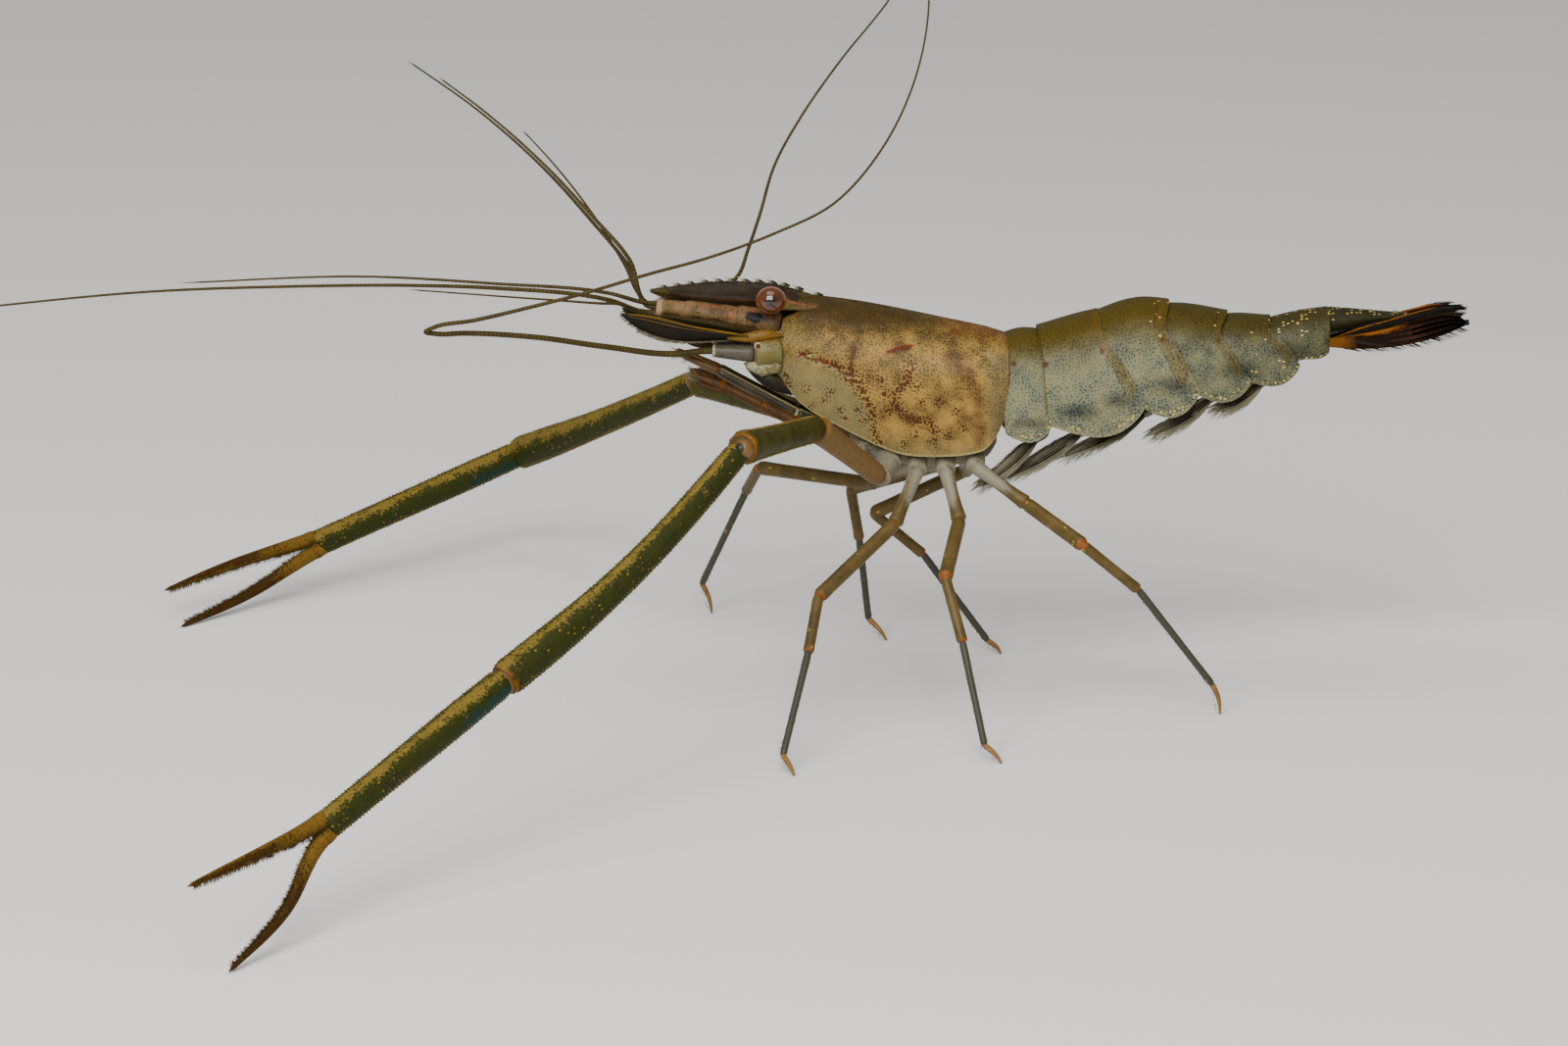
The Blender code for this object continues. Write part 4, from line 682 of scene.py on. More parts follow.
PODOMERE = ((0.0, 0.8), (0.015, 0.93), (0.05, 1.0), (0.12, 1.0), (0.25, 0.98), (0.4, 0.97), (0.55, 0.98),
            (0.7, 1.0), (0.82, 1.02), (0.9, 1.06), (0.955, 1.1), (0.98, 1.02), (0.995, 0.86))


def podomeres(joints, radii):
    """Points, radii, distance to the nearest joint and length number along a jointed leg."""
    path, sizes, near, number = [], [], [], []
    for i, (start, end) in enumerate(zip(joints, joints[1:])):
        length = (end - start).length
        stations = list(zip((0.0, 0.5, 1.0), radii[i]))
        for share, factor in PODOMERE:
            path.append(mix(start, end, share))
            sizes.append(read(stations, share) * factor)
            near.append(min(share, 1 - share) * length)
            number.append(i)
    path.append(joints[-1])
    sizes.append(0.0)
    near.append(0.0)
    number.append(len(joints) - 2)
    return path, sizes, near, number


def softened(sizes, times):
    """The same radii with their steps at the joints evened out."""
    for _ in range(times):
        sizes = [sizes[0]] + [(a + b + c) / 3 for a, b, c in zip(sizes, sizes[1:], sizes[2:])] + [sizes[-1]]
    return sizes


def even_radius(radii, share):
    return read([(i / (len(radii) - 1), radius) for i, radius in enumerate(radii)], share)


def leaning_hair(root, way, *rest):
    """A bristle whose root and way are given in the body's frame."""
    return (lean(root), lean(root + way) - lean(root), *rest)


def bristles(name, hairs, material, sides=3):
    """Fine tapered hairs in one mesh: root, direction, length, root radius, bend, and place on the map."""
    count = len(hairs)
    roots = np.array([h[0] for h in hairs], float)
    ways = np.array([h[1] for h in hairs], float)
    ways /= np.linalg.norm(ways, axis=1, keepdims=True)
    length = np.array([h[2] for h in hairs], float)[:, None]
    thick = np.array([h[3] for h in hairs], float)[:, None]
    bend = np.array([h[4] for h in hairs], float)
    spots = np.array([h[5] for h in hairs], float)
    helper = np.where(np.abs(ways[:, 2:3]) < 0.9, np.array([[0.0, 0.0, 1.0]]), np.array([[1.0, 0.0, 0.0]]))
    across = np.cross(ways, helper)
    across /= np.linalg.norm(across, axis=1, keepdims=True)
    third = np.cross(ways, across)
    verts = []
    for share, width in ((0.0, 1.0), (0.55, 0.7)):
        centre = roots + ways * length * share + bend * length * share * share
        for k in range(sides):
            angle = 2 * math.pi * k / sides
            verts.append(centre + (across * math.cos(angle) + third * math.sin(angle)) * thick * width)
    verts.append(roots + ways * length + bend * length)
    per = 2 * sides + 1
    points = np.stack(verts, axis=1).reshape(-1, 3)
    faces = []
    for k in range(sides):
        j = (k + 1) % sides
        faces += [(k, j, sides + j), (k, sides + j, sides + k), (sides + k, sides + j, 2 * sides)]
    faces += [(0, k + 1, k) for k in range(1, sides - 1)]
    base = (np.arange(count) * per)[:, None, None]
    index = (np.array(faces)[None] + base).reshape(-1, 3)
    mesh = bpy.data.meshes.new(name)
    mesh.vertices.add(len(points))
    mesh.vertices.foreach_set("co", ((points + np.array(ORIGIN)) * MM).ravel())
    mesh.loops.add(index.size)
    mesh.loops.foreach_set("vertex_index", index.ravel())
    mesh.polygons.add(len(index))
    mesh.polygons.foreach_set("loop_start", np.arange(len(index)) * 3)
    mesh.update(calc_edges=True)
    place = mesh.attributes.new("place", "FLOAT_VECTOR", "POINT")
    place.data.foreach_set("vector", points.ravel())
    patch = mesh.uv_layers.new(name="OFBake")
    corner = index.ravel() % per
    offset = np.stack([(corner % sides) / sides, (corner // sides) / 2.0], axis=1) * 0.003
    patch.data.foreach_set("uv", (spots[index.ravel() // per] + offset).ravel())
    mesh.shade_smooth()
    mesh.materials.append(material)
    thing = put(name, mesh)
    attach(thing, "root")
    return thing


# Carapace, rostrum and what they hold

def section(t, back, flank, wide, tip, tip_wide):
    """Distance from the middle and height of a plate's edge: t runs from -1 over the back at 0 to 1."""
    side, reach = (1 if t > 0 else -1), abs(t)
    if reach < PLATE_ARCH:
        angle = math.pi / 2 * reach / PLATE_ARCH
        return side * wide * math.sin(angle), flank + (back - flank) * math.cos(angle)
    drop = (reach - PLATE_ARCH) / (1 - PLATE_ARCH)
    return side * (wide - (wide - tip_wide) * drop * drop), flank - (flank - tip) * drop


def girth(t, back, flank, wide, tip):
    """The way round a plate from the middle of the back to its edge point t, as a length with a sign."""
    arch = math.pi / 2 * math.sqrt((wide * wide + (back - flank) ** 2) / 2)
    reach = abs(t)
    way = arch * reach / PLATE_ARCH if reach < PLATE_ARCH else (
        arch + (reach - PLATE_ARCH) / (1 - PLATE_ARCH) * (flank - tip))
    return math.copysign(way, t)


def carapace_rule(u, v):
    t = 2 * v - 1
    orbit = 2.0 * bell(abs(t) - 0.2, 0.05) + 0.5 * bell(abs(t) - 0.3, 0.1) - 0.3 * bell(abs(t) - 0.42, 0.05)
    x = mix(CARAPACE_FRONT + orbit, CARAPACE_REAR, u ** 0.9)
    back, flank, wide = read(BACK_LINE, x), read(FLANK_LINE, x), read(FLANK_WIDTH, x)
    margin = read(MARGIN_LINE, x)
    y, z = section(t, back, flank, wide, margin, read(MARGIN_WIDTH, x))
    place = Vector((x, girth(t, back, flank, wide, margin), 0))
    front_pale, rear_pale = [line_distance(line, x, z) for line in PALE_LINES]
    smears = [bell(line_distance(line, x, z), half) for line, half in BROWN_SMEARS]
    groove = 0.16 * bell(line_distance(CARAPACE_LINES[0][0], x, z), 0.35) + 0.14 * bell(front_pale, 0.25)
    groove += 0.14 * bell(rear_pale, 0.3) + 0.1 * smears[0]
    groove -= 0.12 * bell(line_distance(((-14.6, 37.5), (-13.8, 36.2)), x, z), 1.0)
    y -= math.copysign(groove, y) * min(1.0, abs(y) / 3)
    z += 0.22 * bell(y, 0.5) * step(-4.0, -16.0, x)
    marks = max(near_lines(CARAPACE_LINES, x, z, 1.3), near_spots(CARAPACE_SPECKS, x, z, 0.5))
    level = (back - z) / (back - margin)
    border = z - read(DARK_LINE, x)
    dark = step(-2.4, 1.1, border)
    grey = step(-11.0, -16.0, x) * step(1.2, -2.0, z - read(GREY_LINE, x))
    low = max(grey, 0.9 * step(-3.4, -1.2, x) * step(0.08, 0.3, level), 0.7 * step(0.72, 1.0, level))
    red = max(near_lines(RED_LINES, x, z, share=0.95), 0.5 * dark * step(-14.0, -5.0, x))
    dense = mix(0.7, 1.1, step(31.5, 37.0, z)) * (1 - 0.35 * grey)
    rim = max(step(0.975, 0.995, abs(t)), 0.6 * bell(front_pale, 0.1), 0.6 * bell(rear_pale, 0.1),
              0.55 * bell(math.hypot(x + 21.6, (z - 38.9) * 2), 0.8),
              step(0.012, 0.0, u) * step(0.3, 0.5, abs(t)))
    green = 0.9 * step(-15.5, -23.5, x) * (1 - grey) * step(1.0, -1.0, border)
    smear = max(0.8 * bell(line_distance(REAR_SMEAR, x, z), 1.0),
                0.6 * step(-3.0, -1.0, x) * step(0.05, 0.3, level))
    line = max(smears + [0.8 * bell(line_distance(mark, x, z), 0.24) for mark in FRONT_MARKS]
               + [0.7 * bell(border + 0.25, 0.16) * step(-6.0, -9.0, x), step(0.988, 0.996, u)])
    dark *= 0.95 * mix(1.0, 0.65, step(-13.0, -5.0, x))
    return (Vector((x, y, z)), place, Vector((marks, dark, low)), Vector((rim, red, dense)),
            Vector((green, smear, line)))


def make_carapace():
    shell = surface(*CARAPACE_GRID, carapace_rule)
    bmesh.ops.solidify(shell, geom=shell.faces[:], thickness=SHELL_WALL)
    for side in (-1, 1):
        for line, radii, pale in CARAPACE_SPINES:
            limb(paired(line, side), radii, 10, shape=shell, edge=pale)
    piece("carapace_shell", shell, CARAPACE_SHELL, replaces=("carapace",))


def rostrum_rule(u, v):
    x = mix(ROSTRUM[0][0], ROSTRUM[-1][0], u)
    crest, ridge, low, half = [read(column(ROSTRUM, i), x) for i in (1, 2, 3, 4)]
    c, s = around(v)
    z = mix(ridge, crest, s) if s > 0 else mix(ridge, low, -s)
    thick = 0.1 + (half - 0.1) * (1 - abs(s)) ** 1.3 + 0.05 * bell(z - ridge, 0.14)
    y = 0.0 if abs(c) < 1e-6 else math.copysign(thick, c)
    red = 0.55 * bell(z - ridge, 0.2) * step(-18.5, -22.0, x)
    olive = max(step(-26.0, -19.0, x), 0.6 * step(-35.0, -37.5, x), 0.5 * step(0.7, 1.0, -s))
    return Vector((x, y, z)), Vector((x, y, z)), Vector((red, olive, 0.3 * step(0.95, 1.0, s))), 0.0


def make_rostrum():
    blade = closed(surface(*ROSTRUM_GRID, rostrum_rule))
    random.seed(5)
    for x in TOOTH_PLACES:
        height = max(read(column(ROSTRUM, 1), x), read(BACK_LINE, x) + 0.2)
        size = TOOTH_LENGTH * random.uniform(0.92, 1.08) * (0.7 if x < -36 else 1.0)
        tooth = [Vector((x + 0.65, 0, height - 0.3)), Vector((x + 0.3, 0, height + 0.05)),
                 Vector((x - 0.15, 0, height + 0.34 * size)), Vector((x - 0.62, 0, height + 0.56 * size))]
        # The tips' pale shade is partly the teeth's own colour and partly a painted highlight
        limb(tooth, [0.42, 0.28, 0.13, 0.0], 8, reference=(0, 1, 0), shape=blade, flat=0.45,
             shade=lambda i, along, c, s: (0, 0, (0, 0.35, 0.9, 1.2)[i]))
    for x in LOWER_TOOTH_PLACES:
        height = read(column(ROSTRUM, 3), x)
        tooth = [Vector((x + out, 0, height + rise)) for out, rise in LOWER_TOOTH]
        limb(tooth, [0.4, 0.22, 0.0], 8, reference=(0, 1, 0), shape=blade, flat=0.6)
    piece("rostrum_blade", blade, ROSTRUM_SHELL)
    hairs = []
    for i in range(HAIR_COUNTS["rostrum"]):
        x = random.uniform(-38.0, -21.5)
        lower = random.random() < 0.3 and x < -25
        height = read(column(ROSTRUM, 3), x) + 0.05 if lower else read(column(ROSTRUM, 1), x) - 0.05
        side = random.choice((-1, 1))
        if not lower and random.random() < 0.45:
            height -= abs(random.gauss(0.5, 0.3))
        root = Vector((x, side * random.uniform(0.05, 0.25), height))
        way = Vector((-1.0, side * random.uniform(0.1, 0.9), random.uniform(-1.0, -0.3) if lower
                      else random.uniform(0.2, 1.0)))
        hairs.append(leaning_hair(root, way, random.uniform(0.25, 0.45), 0.03,
                                  (-0.2, 0, 0), (0.05 + (x + 39) / 40, 0.1 + 0.0016 * i)))
    bristles("rostrum_bristles", hairs, PALE_BRISTLE)


def make_inner_body():
    """The dim flesh that closes the shell from below, and the ridge between the legs."""
    def rule(u, v):
        x = mix(*INNER_SPAN, u)
        c, s = around(v)
        wide = read(MARGIN_WIDTH, x) - INNER_INSET
        flank = read(FLANK_LINE, x)
        tip = read(MARGIN_LINE, x)
        floor = flank - (flank - tip) * 0.8
        half = wide * (0.72 if s < 0 else 1.0)
        z = mix(flank, floor, -s) if s < 0 else mix(flank, flank + 2.0, s)
        point = Vector((x, half * c, z))
        return point, point, Vector((0, 0.4, 0)), 0.0

    body = closed(surface(39, 24, rule))

    def ridge(u, v):
        x = mix(*STERNUM_SPAN, u)
        flank, tip = read(FLANK_LINE, x), read(MARGIN_LINE, x)
        top = flank - (flank - tip) * 0.85 + 0.6
        c, s = around(v)
        low = 0.5 - 0.5 * s
        half = mix(STERNUM_TOP_WIDTH, STERNUM_BOTTOM_WIDTH, low)
        scallop = STERNUM_SCALLOP * around((x - COXA_PLACES[1]) / STERNUM_PITCH)[0]
        z = top - (STERNUM_DEPTH + 0.6) * low + scallop
        point = Vector((x, half * c, z))
        return point, point, Vector((0, 1.0, 0)), 0.0

    closed(surface(48, 20, ridge, body))
    limb(paired(HEAD_WALL, 1), HEAD_WALL_RADII, 20, shape=body)
    piece("inner_body", body, FLESH, replaces=("underside",))


def make_eyes():
    for name, side in SIDES:
        centre = mirrored(EYE_CENTRES[side], side)
        root = mirrored(STALK_ROOT, side)
        ball = bmesh.new()
        place, tone = layers(ball)[:2]
        bmesh.ops.create_uvsphere(ball, u_segments=64, v_segments=40, radius=1.0)
        for vert in ball.verts:
            facing = vert.co.y * side
            # Painted light: paler away from the outward middle, for light through the clear skin; darker at
            # that middle
            vert[tone] = Vector((step(0.62, 0.3, facing), 0.8 * step(0.75, 1.0, facing), 0))
            vert.co = Vector([part * size for part, size in zip(vert.co, EYE_RADII)]) + centre
            vert[place] = vert.co
        piece("eye_ball_" + name, ball, CORNEA, replaces=("eye_" + name,))
        path = [mix(root, centre, i / 10 * 0.78) for i in range(11)]
        radii = [STALK_RADIUS * even_radius((0.75, 0.8, 0.95, 1.15, 1.35), i / 10) for i in range(11)]
        stalk = limb(path, radii, 24, shade=lambda i, along, c, s: (
            0.75 * bell(s - 0.2, 0.3), 0.9 * step(0.2, -0.5, s), 0.5 * step(0.35, 0.8, s)))
        piece("eye_stalk_" + name, stalk, HEAD_SHELL, replaces=("eyestalk_" + name,))


def leaf(shape, outer, inner, thick, shade, rows=60, columns=44, ribs=(), belly=((0.0, 0.0), (1.0, 0.0))):
    """A thin blade between two edge lines, each a function of the share along it."""
    def rule(u, v):
        lower = v > 0.5
        s = 2 * (1 - v) if lower else 2 * v
        a, b = outer(u), inner(u)
        swell = math.sin(math.pi * min(max(s, 0.0), 1.0)) ** 0.5
        ends = min(1.0, 6 * (1 - u) + 0.15, 8 * u + 0.35)
        high = thick / 2 * (0.15 + 0.85 * swell) * ends
        if lower:
            high += read(belly, u) * swell
        else:
            high += sum(0.35 * thick * bell(s - rib, 0.035) for rib in ribs) * ends
        across = Vector((0, a.z - b.z, b.y - a.y)).normalized()
        lift = across * math.copysign(-high if lower else high, across.z)
        if s < 1e-6 or s > 1 - 1e-6:
            lift = Vector((0, 0, 0))
        point = mix(a, b, s) + lift
        tones, edge = shade(u, s, lower)
        return point, point, tones, edge

    return closed(surface(rows, columns, rule, shape))


def edge_line(table, columns, side, start, end):
    lines = [column(sorted(table), i) for i in columns]

    def at(u):
        x = mix(start, end, u)
        return Vector((x, read(lines[0], x) * side, read(lines[1], x)))

    return at


def make_head_pieces():
    random.seed(7)
    tufts = []
    for name, side in SIDES:
        joints = paired(ANTENNULE_LINE, side)
        joints = [joints[0], mix(joints[1], joints[2], 0.4), joints[3], joints[4]]
        path, radii, near, number = podomeres(joints, STEM_RADII)
        radii = softened(radii, 5)

        def stem_shade(i, along, c, s):
            outward = math.atan2(s, c * side)
            # Painted shadow: near-black in the hollow under the eye, where the stem's base meets the eye and
            # the carapace
            hollow_shadow = bell(along - 2.9, 1.1) * bell(outward - 0.3, 0.45)
            salmon = 0.8 * bell(along - 5.4, 0.9) * bell(outward - 0.2, 0.6)
            olive = 0.8 * bell(outward + 0.1, 0.25) * (along > 6)
            return Vector((max(0.3 * bell(near[i], 0.4), 0.6 * bell(outward - 0.9, 0.5), salmon), olive,
                           max(hollow_shadow * 1.35, 0.6 * bell(outward + 0.45, 0.12) * (along > 4))))

        ways = distances(path)
        ends = [0.85 * step(1.4, 0.4, ways[-1] - way) for way in ways]
        stem = limb(path, radii, 30, shade=stem_shade, edge=ends)
        limb(smooth_path(paired(STEM_SPINE, side), 4), [0.35 - 0.043 * i for i in range(9)], 10, shape=stem)
        piece("antennule_stem_shell_" + name, stem, HEAD_SHELL,
              replaces=("antennule_stem_" + name,))
        for i in range(HAIR_COUNTS["stem"]):
            k = random.randrange(8, len(path) - 2)
            low = random.random() < 0.65
            out = Vector((0, side * 0.75, -0.75)) if low else Vector((0, side * 0.5, 0.8))
            root = mix(path[k], path[k + 1], random.random()) + out * radii[k] * 0.85
            tufts.append(leaning_hair(root, out + Vector((-1.2, 0, 0)), random.uniform(0.25, 0.5), 0.04,
                                      (-0.1, 0, 0), (0.1 + 0.02 * k, 0.85 + 0.1 * side)))
        joints = paired(ANTENNA_LINE, side)
        path, radii, near, number = podomeres(
            [joints[0], joints[2], joints[3]], ANTENNA_RADII)
        stem = limb(path, radii, 28, shade=lambda i, along, c, s: (
            0.3 * bell(near[i], 0.3), 0.8 * step(0.1, 0.9, s) * (number[i] == 0), 0.95 * number[i]),
            edge=[0.95 * bell(n, 0.45) * (m > 0) * (share > len(path) * 0.75)
                  for share, (n, m) in enumerate(zip(near, number))])
        for size, out, edge in ((0.42, 0.0, 0.9), (0.26, 0.12, 0.0)):
            knob = [mirrored((-27.0, y + out, 39.5), side) for y in (5.2, 5.9, 6.1)]
            limb(knob, [size, size, 0.0], 14, shape=stem, reference=(1, 0, 0),
                 shade=lambda i, along, c, s: (0.0 if edge else 1.0, 0, 0), edge=[edge] * 3)
        limb(smooth_path(paired(ANTENNA_RIDGE, side), 5),
             [0.62 * math.sin(math.pi * (i + 1) / 17) for i in range(16)], 14, shape=stem,
             shade=lambda i, along, c, s: (0, 1.0, 0))
        limb(paired(ANTENNA_LOBE, side), [0.0, 0.75, 0.85, 0.5, 0.0], 16, shape=stem,
             shade=lambda i, along, c, s: (0, 0, 0.3), edge=[0.55] * 5)
        piece("antenna_stem_shell_" + name, stem, ANTENNA_SHELL,
              replaces=("antenna_stem_" + name,))
        outer = edge_line(SCALE_OUTER, (1, 2), side, SCALE_OUTER[0][0], SCALE_OUTER[-1][0])
        inner = edge_line(SCALE_INNER, (1, 2), side, SCALE_INNER[0][0], SCALE_INNER[-1][0])
        scale = leaf(None, outer, inner, 0.5, lambda u, s, lower: (
            Vector((max(bell(s - 0.06, 0.09), 0.75 * bell(s - 0.33, 0.06)) * step(1.02, 0.9, u),
                    0.9 * step(0.35, 0.0, u), 0.6 * step(0.55, 0.3, s))), 0.0), ribs=(0.06, 0.33))
        rib = smooth_path(paired(SCALE_RIB, side), 8)
        limb(rib, [0.42 * math.sin(math.pi * (0.3 + 0.68 * i / (len(rib) - 1))) for i in range(len(rib))], 12,
             shape=scale, shade=lambda i, along, c, s: (0.0, 0.5, 0.9 * step(0.2, 0.8, s)))
        piece("antennal_scale_blade_" + name, scale, SCALE_SHELL, replaces=("antennal_scale_" + name,))
        for i in range(HAIR_COUNTS["scale"]):
            u = random.uniform(0.1, 0.99)
            root = inner(u)
            out = (inner(u) - outer(u)).normalized()
            way = out + Vector((-0.9, 0, random.uniform(-0.25, 0.1)))
            size = random.uniform(0.5, 0.8) * (1.1 if u < 0.85 else 0.6)
            spot = (0.1 + 0.8 * u, 0.2 + 0.15 * side)
            tufts.append(leaning_hair(root, way, size, 0.04, (-0.25, 0, 0), spot))
        joints = paired(MAXILLIPED_LINE, side)
        path, radii, near, number = podomeres(
            [joints[0], joints[2], joints[4], joints[5]], MOUTH_LEG_RADII)
        leg = limb(path, radii, 20, shade=lambda i, along, c, s: (
            max(0.4 * bell(near[i], 0.4), 0.75 * (number[i] == 2)),
            0.95 * bell(math.atan2(s, c * side) - 0.9, 0.3) * (number[i] < 2),
            0.8 * bell(math.atan2(s, c * side) - 0.1, 0.35)), flat=0.75,
            edge=[0.9 * bell(n, 0.45) * (m == 1) * (k < len(path) / 2)
                  for k, (n, m) in enumerate(zip(near, number))])
        lobe = smooth_path(paired(MOUTH_LOBE, side), 6)
        sizes = [1.3 * math.sin(math.pi * (i + 0.8) / 14) for i in range(len(lobe))]
        limb(lobe, sizes, 20, shape=leg, flat=0.8, shade=lambda i, along, c, s: (
            0, 0.7 * step(0.3, 0.9, s) * step(2.5, 4.5, along), 0.9 * step(0.5, -0.2, s)))
        piece("third_maxilliped_shell_" + name, leg, MOUTH_LEG_SHELL,
              replaces=("third_maxilliped_" + name,))
        for i in range(HAIR_COUNTS["mouth leg"]):
            u = random.uniform(0.35, 1.0)
            at = u * (len(path) - 2)
            k = int(at)
            root = mix(path[k], path[k + 1], at - k)
            angle = random.uniform(0, 2 * math.pi)
            way = Vector((-0.9, math.cos(angle) * 0.8, math.sin(angle) * 0.9 - 0.4))
            size = random.uniform(0.5, 0.9) * (1.3 if u > 0.8 else 0.7)
            spot = (0.1 + 0.8 * u, 0.55 + 0.1 * side)
            tufts.append(leaning_hair(root, way, size, 0.03, (-0.3, 0, 0), spot))
    bristles("head_bristles", tufts, PALE_BRISTLE)


# Abdomen and tail

def ring_rule(index):
    def end(joint):
        stations = list(zip(JOINT_LEVELS, JOINTS[joint]))
        return lambda level: read(stations, level)

    front, rear = end(index), end(index + 1)

    def rule(u, v):
        t = 2 * v - 1
        middle = mix(JOINTS[index][0], JOINTS[index + 1][0], u)
        arch = math.sin(math.pi * u)
        lap = FRONT_LAP[index] * (1 - u) ** 3 + REAR_LAP[index] * u ** 3
        back = read(ABDOMEN_BACK, middle) + RING_SWELL * arch + lap
        wide = read(ABDOMEN_WIDTH, middle) + RING_SWELL * arch + lap
        notch = mix(PLEURON_NOTCH[index], PLEURON_NOTCH[index + 1], u)
        tip = mix(notch, PLEURON_TIP[index], arch ** 0.7)
        flank = read(ABDOMEN_FLANK, middle)
        y, z = section(t, back, flank, wide, tip, wide * PLEURON_TUCK)
        unrolled = girth(t, back, flank, wide, tip)
        level = (back - z) / (back - tip)
        x = mix(front(level) - (0.5 if FRONT_LAP[index] < 0 else 0.3),
                rear(level) + (0.25 if REAR_LAP[index] > 0 else 0), u)
        if index == 5:
            x = min(x, 35.1)
        behind = (rear(level) - x) / BAND_WIDTH[index]
        marks = max(near_spots(HINGE_SPOTS, x, z, 0.5), near_spots(RED_SPOTS, x, z, 0.6, 0.62))
        dorsal = step(0.6, 0.02, level) + 0.04 * index
        blue = max([0.7 * bell(math.hypot((x - spot[0]) / spot[2], (z - spot[1]) / spot[3]), 1.25)
                    for spot in BLUE_PATCHES] + [0.4 * step(0.8, 0.95, level) * step(0.998, 0.96, abs(t))])
        upper_rear = 0.2 * step(0.72, 0.9, u) * step(0.45, 0.15, level) * (index > 1)
        scattered = 0.25 * step(0.5, 0.2, level) * (index > 4) + 0.04 * (index > 3)
        gold = max(bell(abs(t) - 0.958, 0.014), upper_rear, scattered)
        # The pale rim also takes the pale lobes and the painted highlights mid-side
        rim = max([step(0.985, 0.995, abs(t))]
                  + [0.75 * bell(math.hypot(x - spot[0], z - spot[1]) / spot[2], 1.0) for spot in PALE_LOBES_AND_SHEENS])
        high = step(0.95, 0.75, level)
        band = 0.62 * step(1.1, 0.85, behind) * high
        # Dark lines at both ends of the rear band; the one at the ring's rear edge is painted shadow of the
        # shell's thick edge
        line = 0.8 * max(bell(behind - 1.0, 0.13), bell(behind, 0.13)) * high
        return (Vector((x, y, z)), Vector((x, unrolled, 0)), Vector((marks, dorsal, blue)),
                Vector((rim, gold, 1)), Vector((band, RING_DARKNESS[index], line)))

    return rule


def make_abdomen():
    for index in range(len(PLEURON_TIP)):
        ring = surface(*RING_GRID, ring_rule(index))
        bmesh.ops.solidify(ring, geom=ring.faces[:], thickness=SHELL_WALL)
        node = "abdomen_ring_%d" % (index + 1)
        piece("abdomen_plate_%d" % (index + 1), ring, ABDOMEN_SHELL, replaces=(node,))

    def flesh(u, v):
        x = mix(*TAIL_FLESH_SPAN, u)
        c, s = around(v)
        wide = read(ABDOMEN_WIDTH, x) - TAIL_FLESH_INSET
        back = read(ABDOMEN_BACK, x) - TAIL_FLESH_INSET
        flank = read(ABDOMEN_FLANK, x)
        belly = flank - (flank - read([(i * 6.0, n) for i, n in enumerate(PLEURON_NOTCH)], x)) * 0.45
        z = mix(flank, back, s) if s > 0 else mix(flank, belly, -s)
        point = Vector((x, wide * c * (1 if s > 0 else 0.9), z))
        return point, point, Vector((0, 0.5, 0)), 0.0

    piece("abdomen_flesh", closed(surface(60, 28, flesh)), FLESH)


def make_tail():
    random.seed(11)
    fringe = []

    def telson(u, v):
        x = mix(TELSON[0][0], TELSON[-1][0], u)
        centre, wide, high = [read(column(TELSON, i), x) for i in (1, 2, 3)]
        angle = 2 * math.pi * v
        s = math.sin(angle)
        point = Vector((x, wide * math.cos(angle), centre + high * s))
        gold = 0.35 * step(0.1, 0.6, s)
        return (point, Vector((x, wide * angle, 0)), Vector((0, 1.0, 0.5)), Vector((0, gold, 0.8)),
                Vector((0, 1.4, 0.55)))

    body = closed(surface(60, 32, telson))
    for x, share in ((39.5, 0.62), (42.2, 0.6)):
        for side in (-1, 1):
            wide, high = read(column(TELSON, 2), x), read(column(TELSON, 3), x)
            root = Vector((x, wide * share * side, read(column(TELSON, 1), x) + high * 0.75))
            limb([root, root + Vector((0.3, 0.02 * side, 0.12)), root + Vector((0.65, 0.03 * side, 0.16))],
                 [0.13, 0.09, 0.0], 8, shape=body)
    piece("telson_plate", body, ABDOMEN_SHELL, replaces=("telson",))
    for name, side in SIDES:
        for kind, table in (("inner", UROPOD_INNER), ("outer", UROPOD_OUTER)):
            start, end = table[0][0], table[-1][0]
            outer = edge_line(table, (1, 2), side, start, end)
            inner = edge_line(table, (3, 4), side, start, end)

            def shade(u, s, lower):
                rib = max(bell(s - 0.5, 0.05), bell(s - 0.25, 0.04), bell(s - 0.75, 0.04))
                rib = rib * step(0.95, 0.7, u) * 0.6
                golden = 1.05 * bell(s - 1.0, 0.4) * step(0.8, 0.25, u) if kind == "outer" else (
                    1.1 * bell(s - 0.08, 0.2) * step(1.0, 0.9, u))
                return (Vector((max(rib * 0.5, golden), 0.9 * step(0.3, 0.05, u), 0.9 * step(0.5, 1.0, u))),
                        0.75 * (not lower) * step(0.9, 0.6, u))

            blade = leaf(None, outer, inner, 0.42, shade, ribs=(0.03, 0.25, 0.5, 0.75),
                         belly=UROPOD_BELLY if kind == "outer" else ((0.0, 0.0), (1.0, 0.0)))
            piece("uropod_%s_blade_%s" % (kind, name), blade, FAN_SHELL,
                  replaces=("uropod_%s_%s" % (kind, name),))
            for i in range(HAIR_COUNTS["blade"]):
                u = 1 - random.random() ** 1.3 * 0.9
                edge_share = random.random()
                if u > 0.96:
                    root, out = mix(outer(0.995), inner(0.995), edge_share), Vector((1, 0, 0))
                elif edge_share < (0.5 if kind == "inner" else 0.2):
                    root, out = outer(u), (outer(u) - inner(u)).normalized()
                else:
                    root, out = inner(u), (inner(u) - outer(u)).normalized()
                way = out * 0.8 + Vector((1.3, 0, random.uniform(-0.1, 0.2)))
                room = FRINGE_END - root.x
                size = min(random.uniform(0.8, 1.3), max(0.25, room * 0.95))
                spot = (0.1 + 0.8 * u, 0.25 + 0.2 * side + (0.1 if kind == "inner" else 0))
                fringe.append(leaning_hair(root, way, size, 0.04, (0.15, 0, 0.05), spot))
    bristles("tail_fan_fringe", fringe, DARK_BRISTLE)


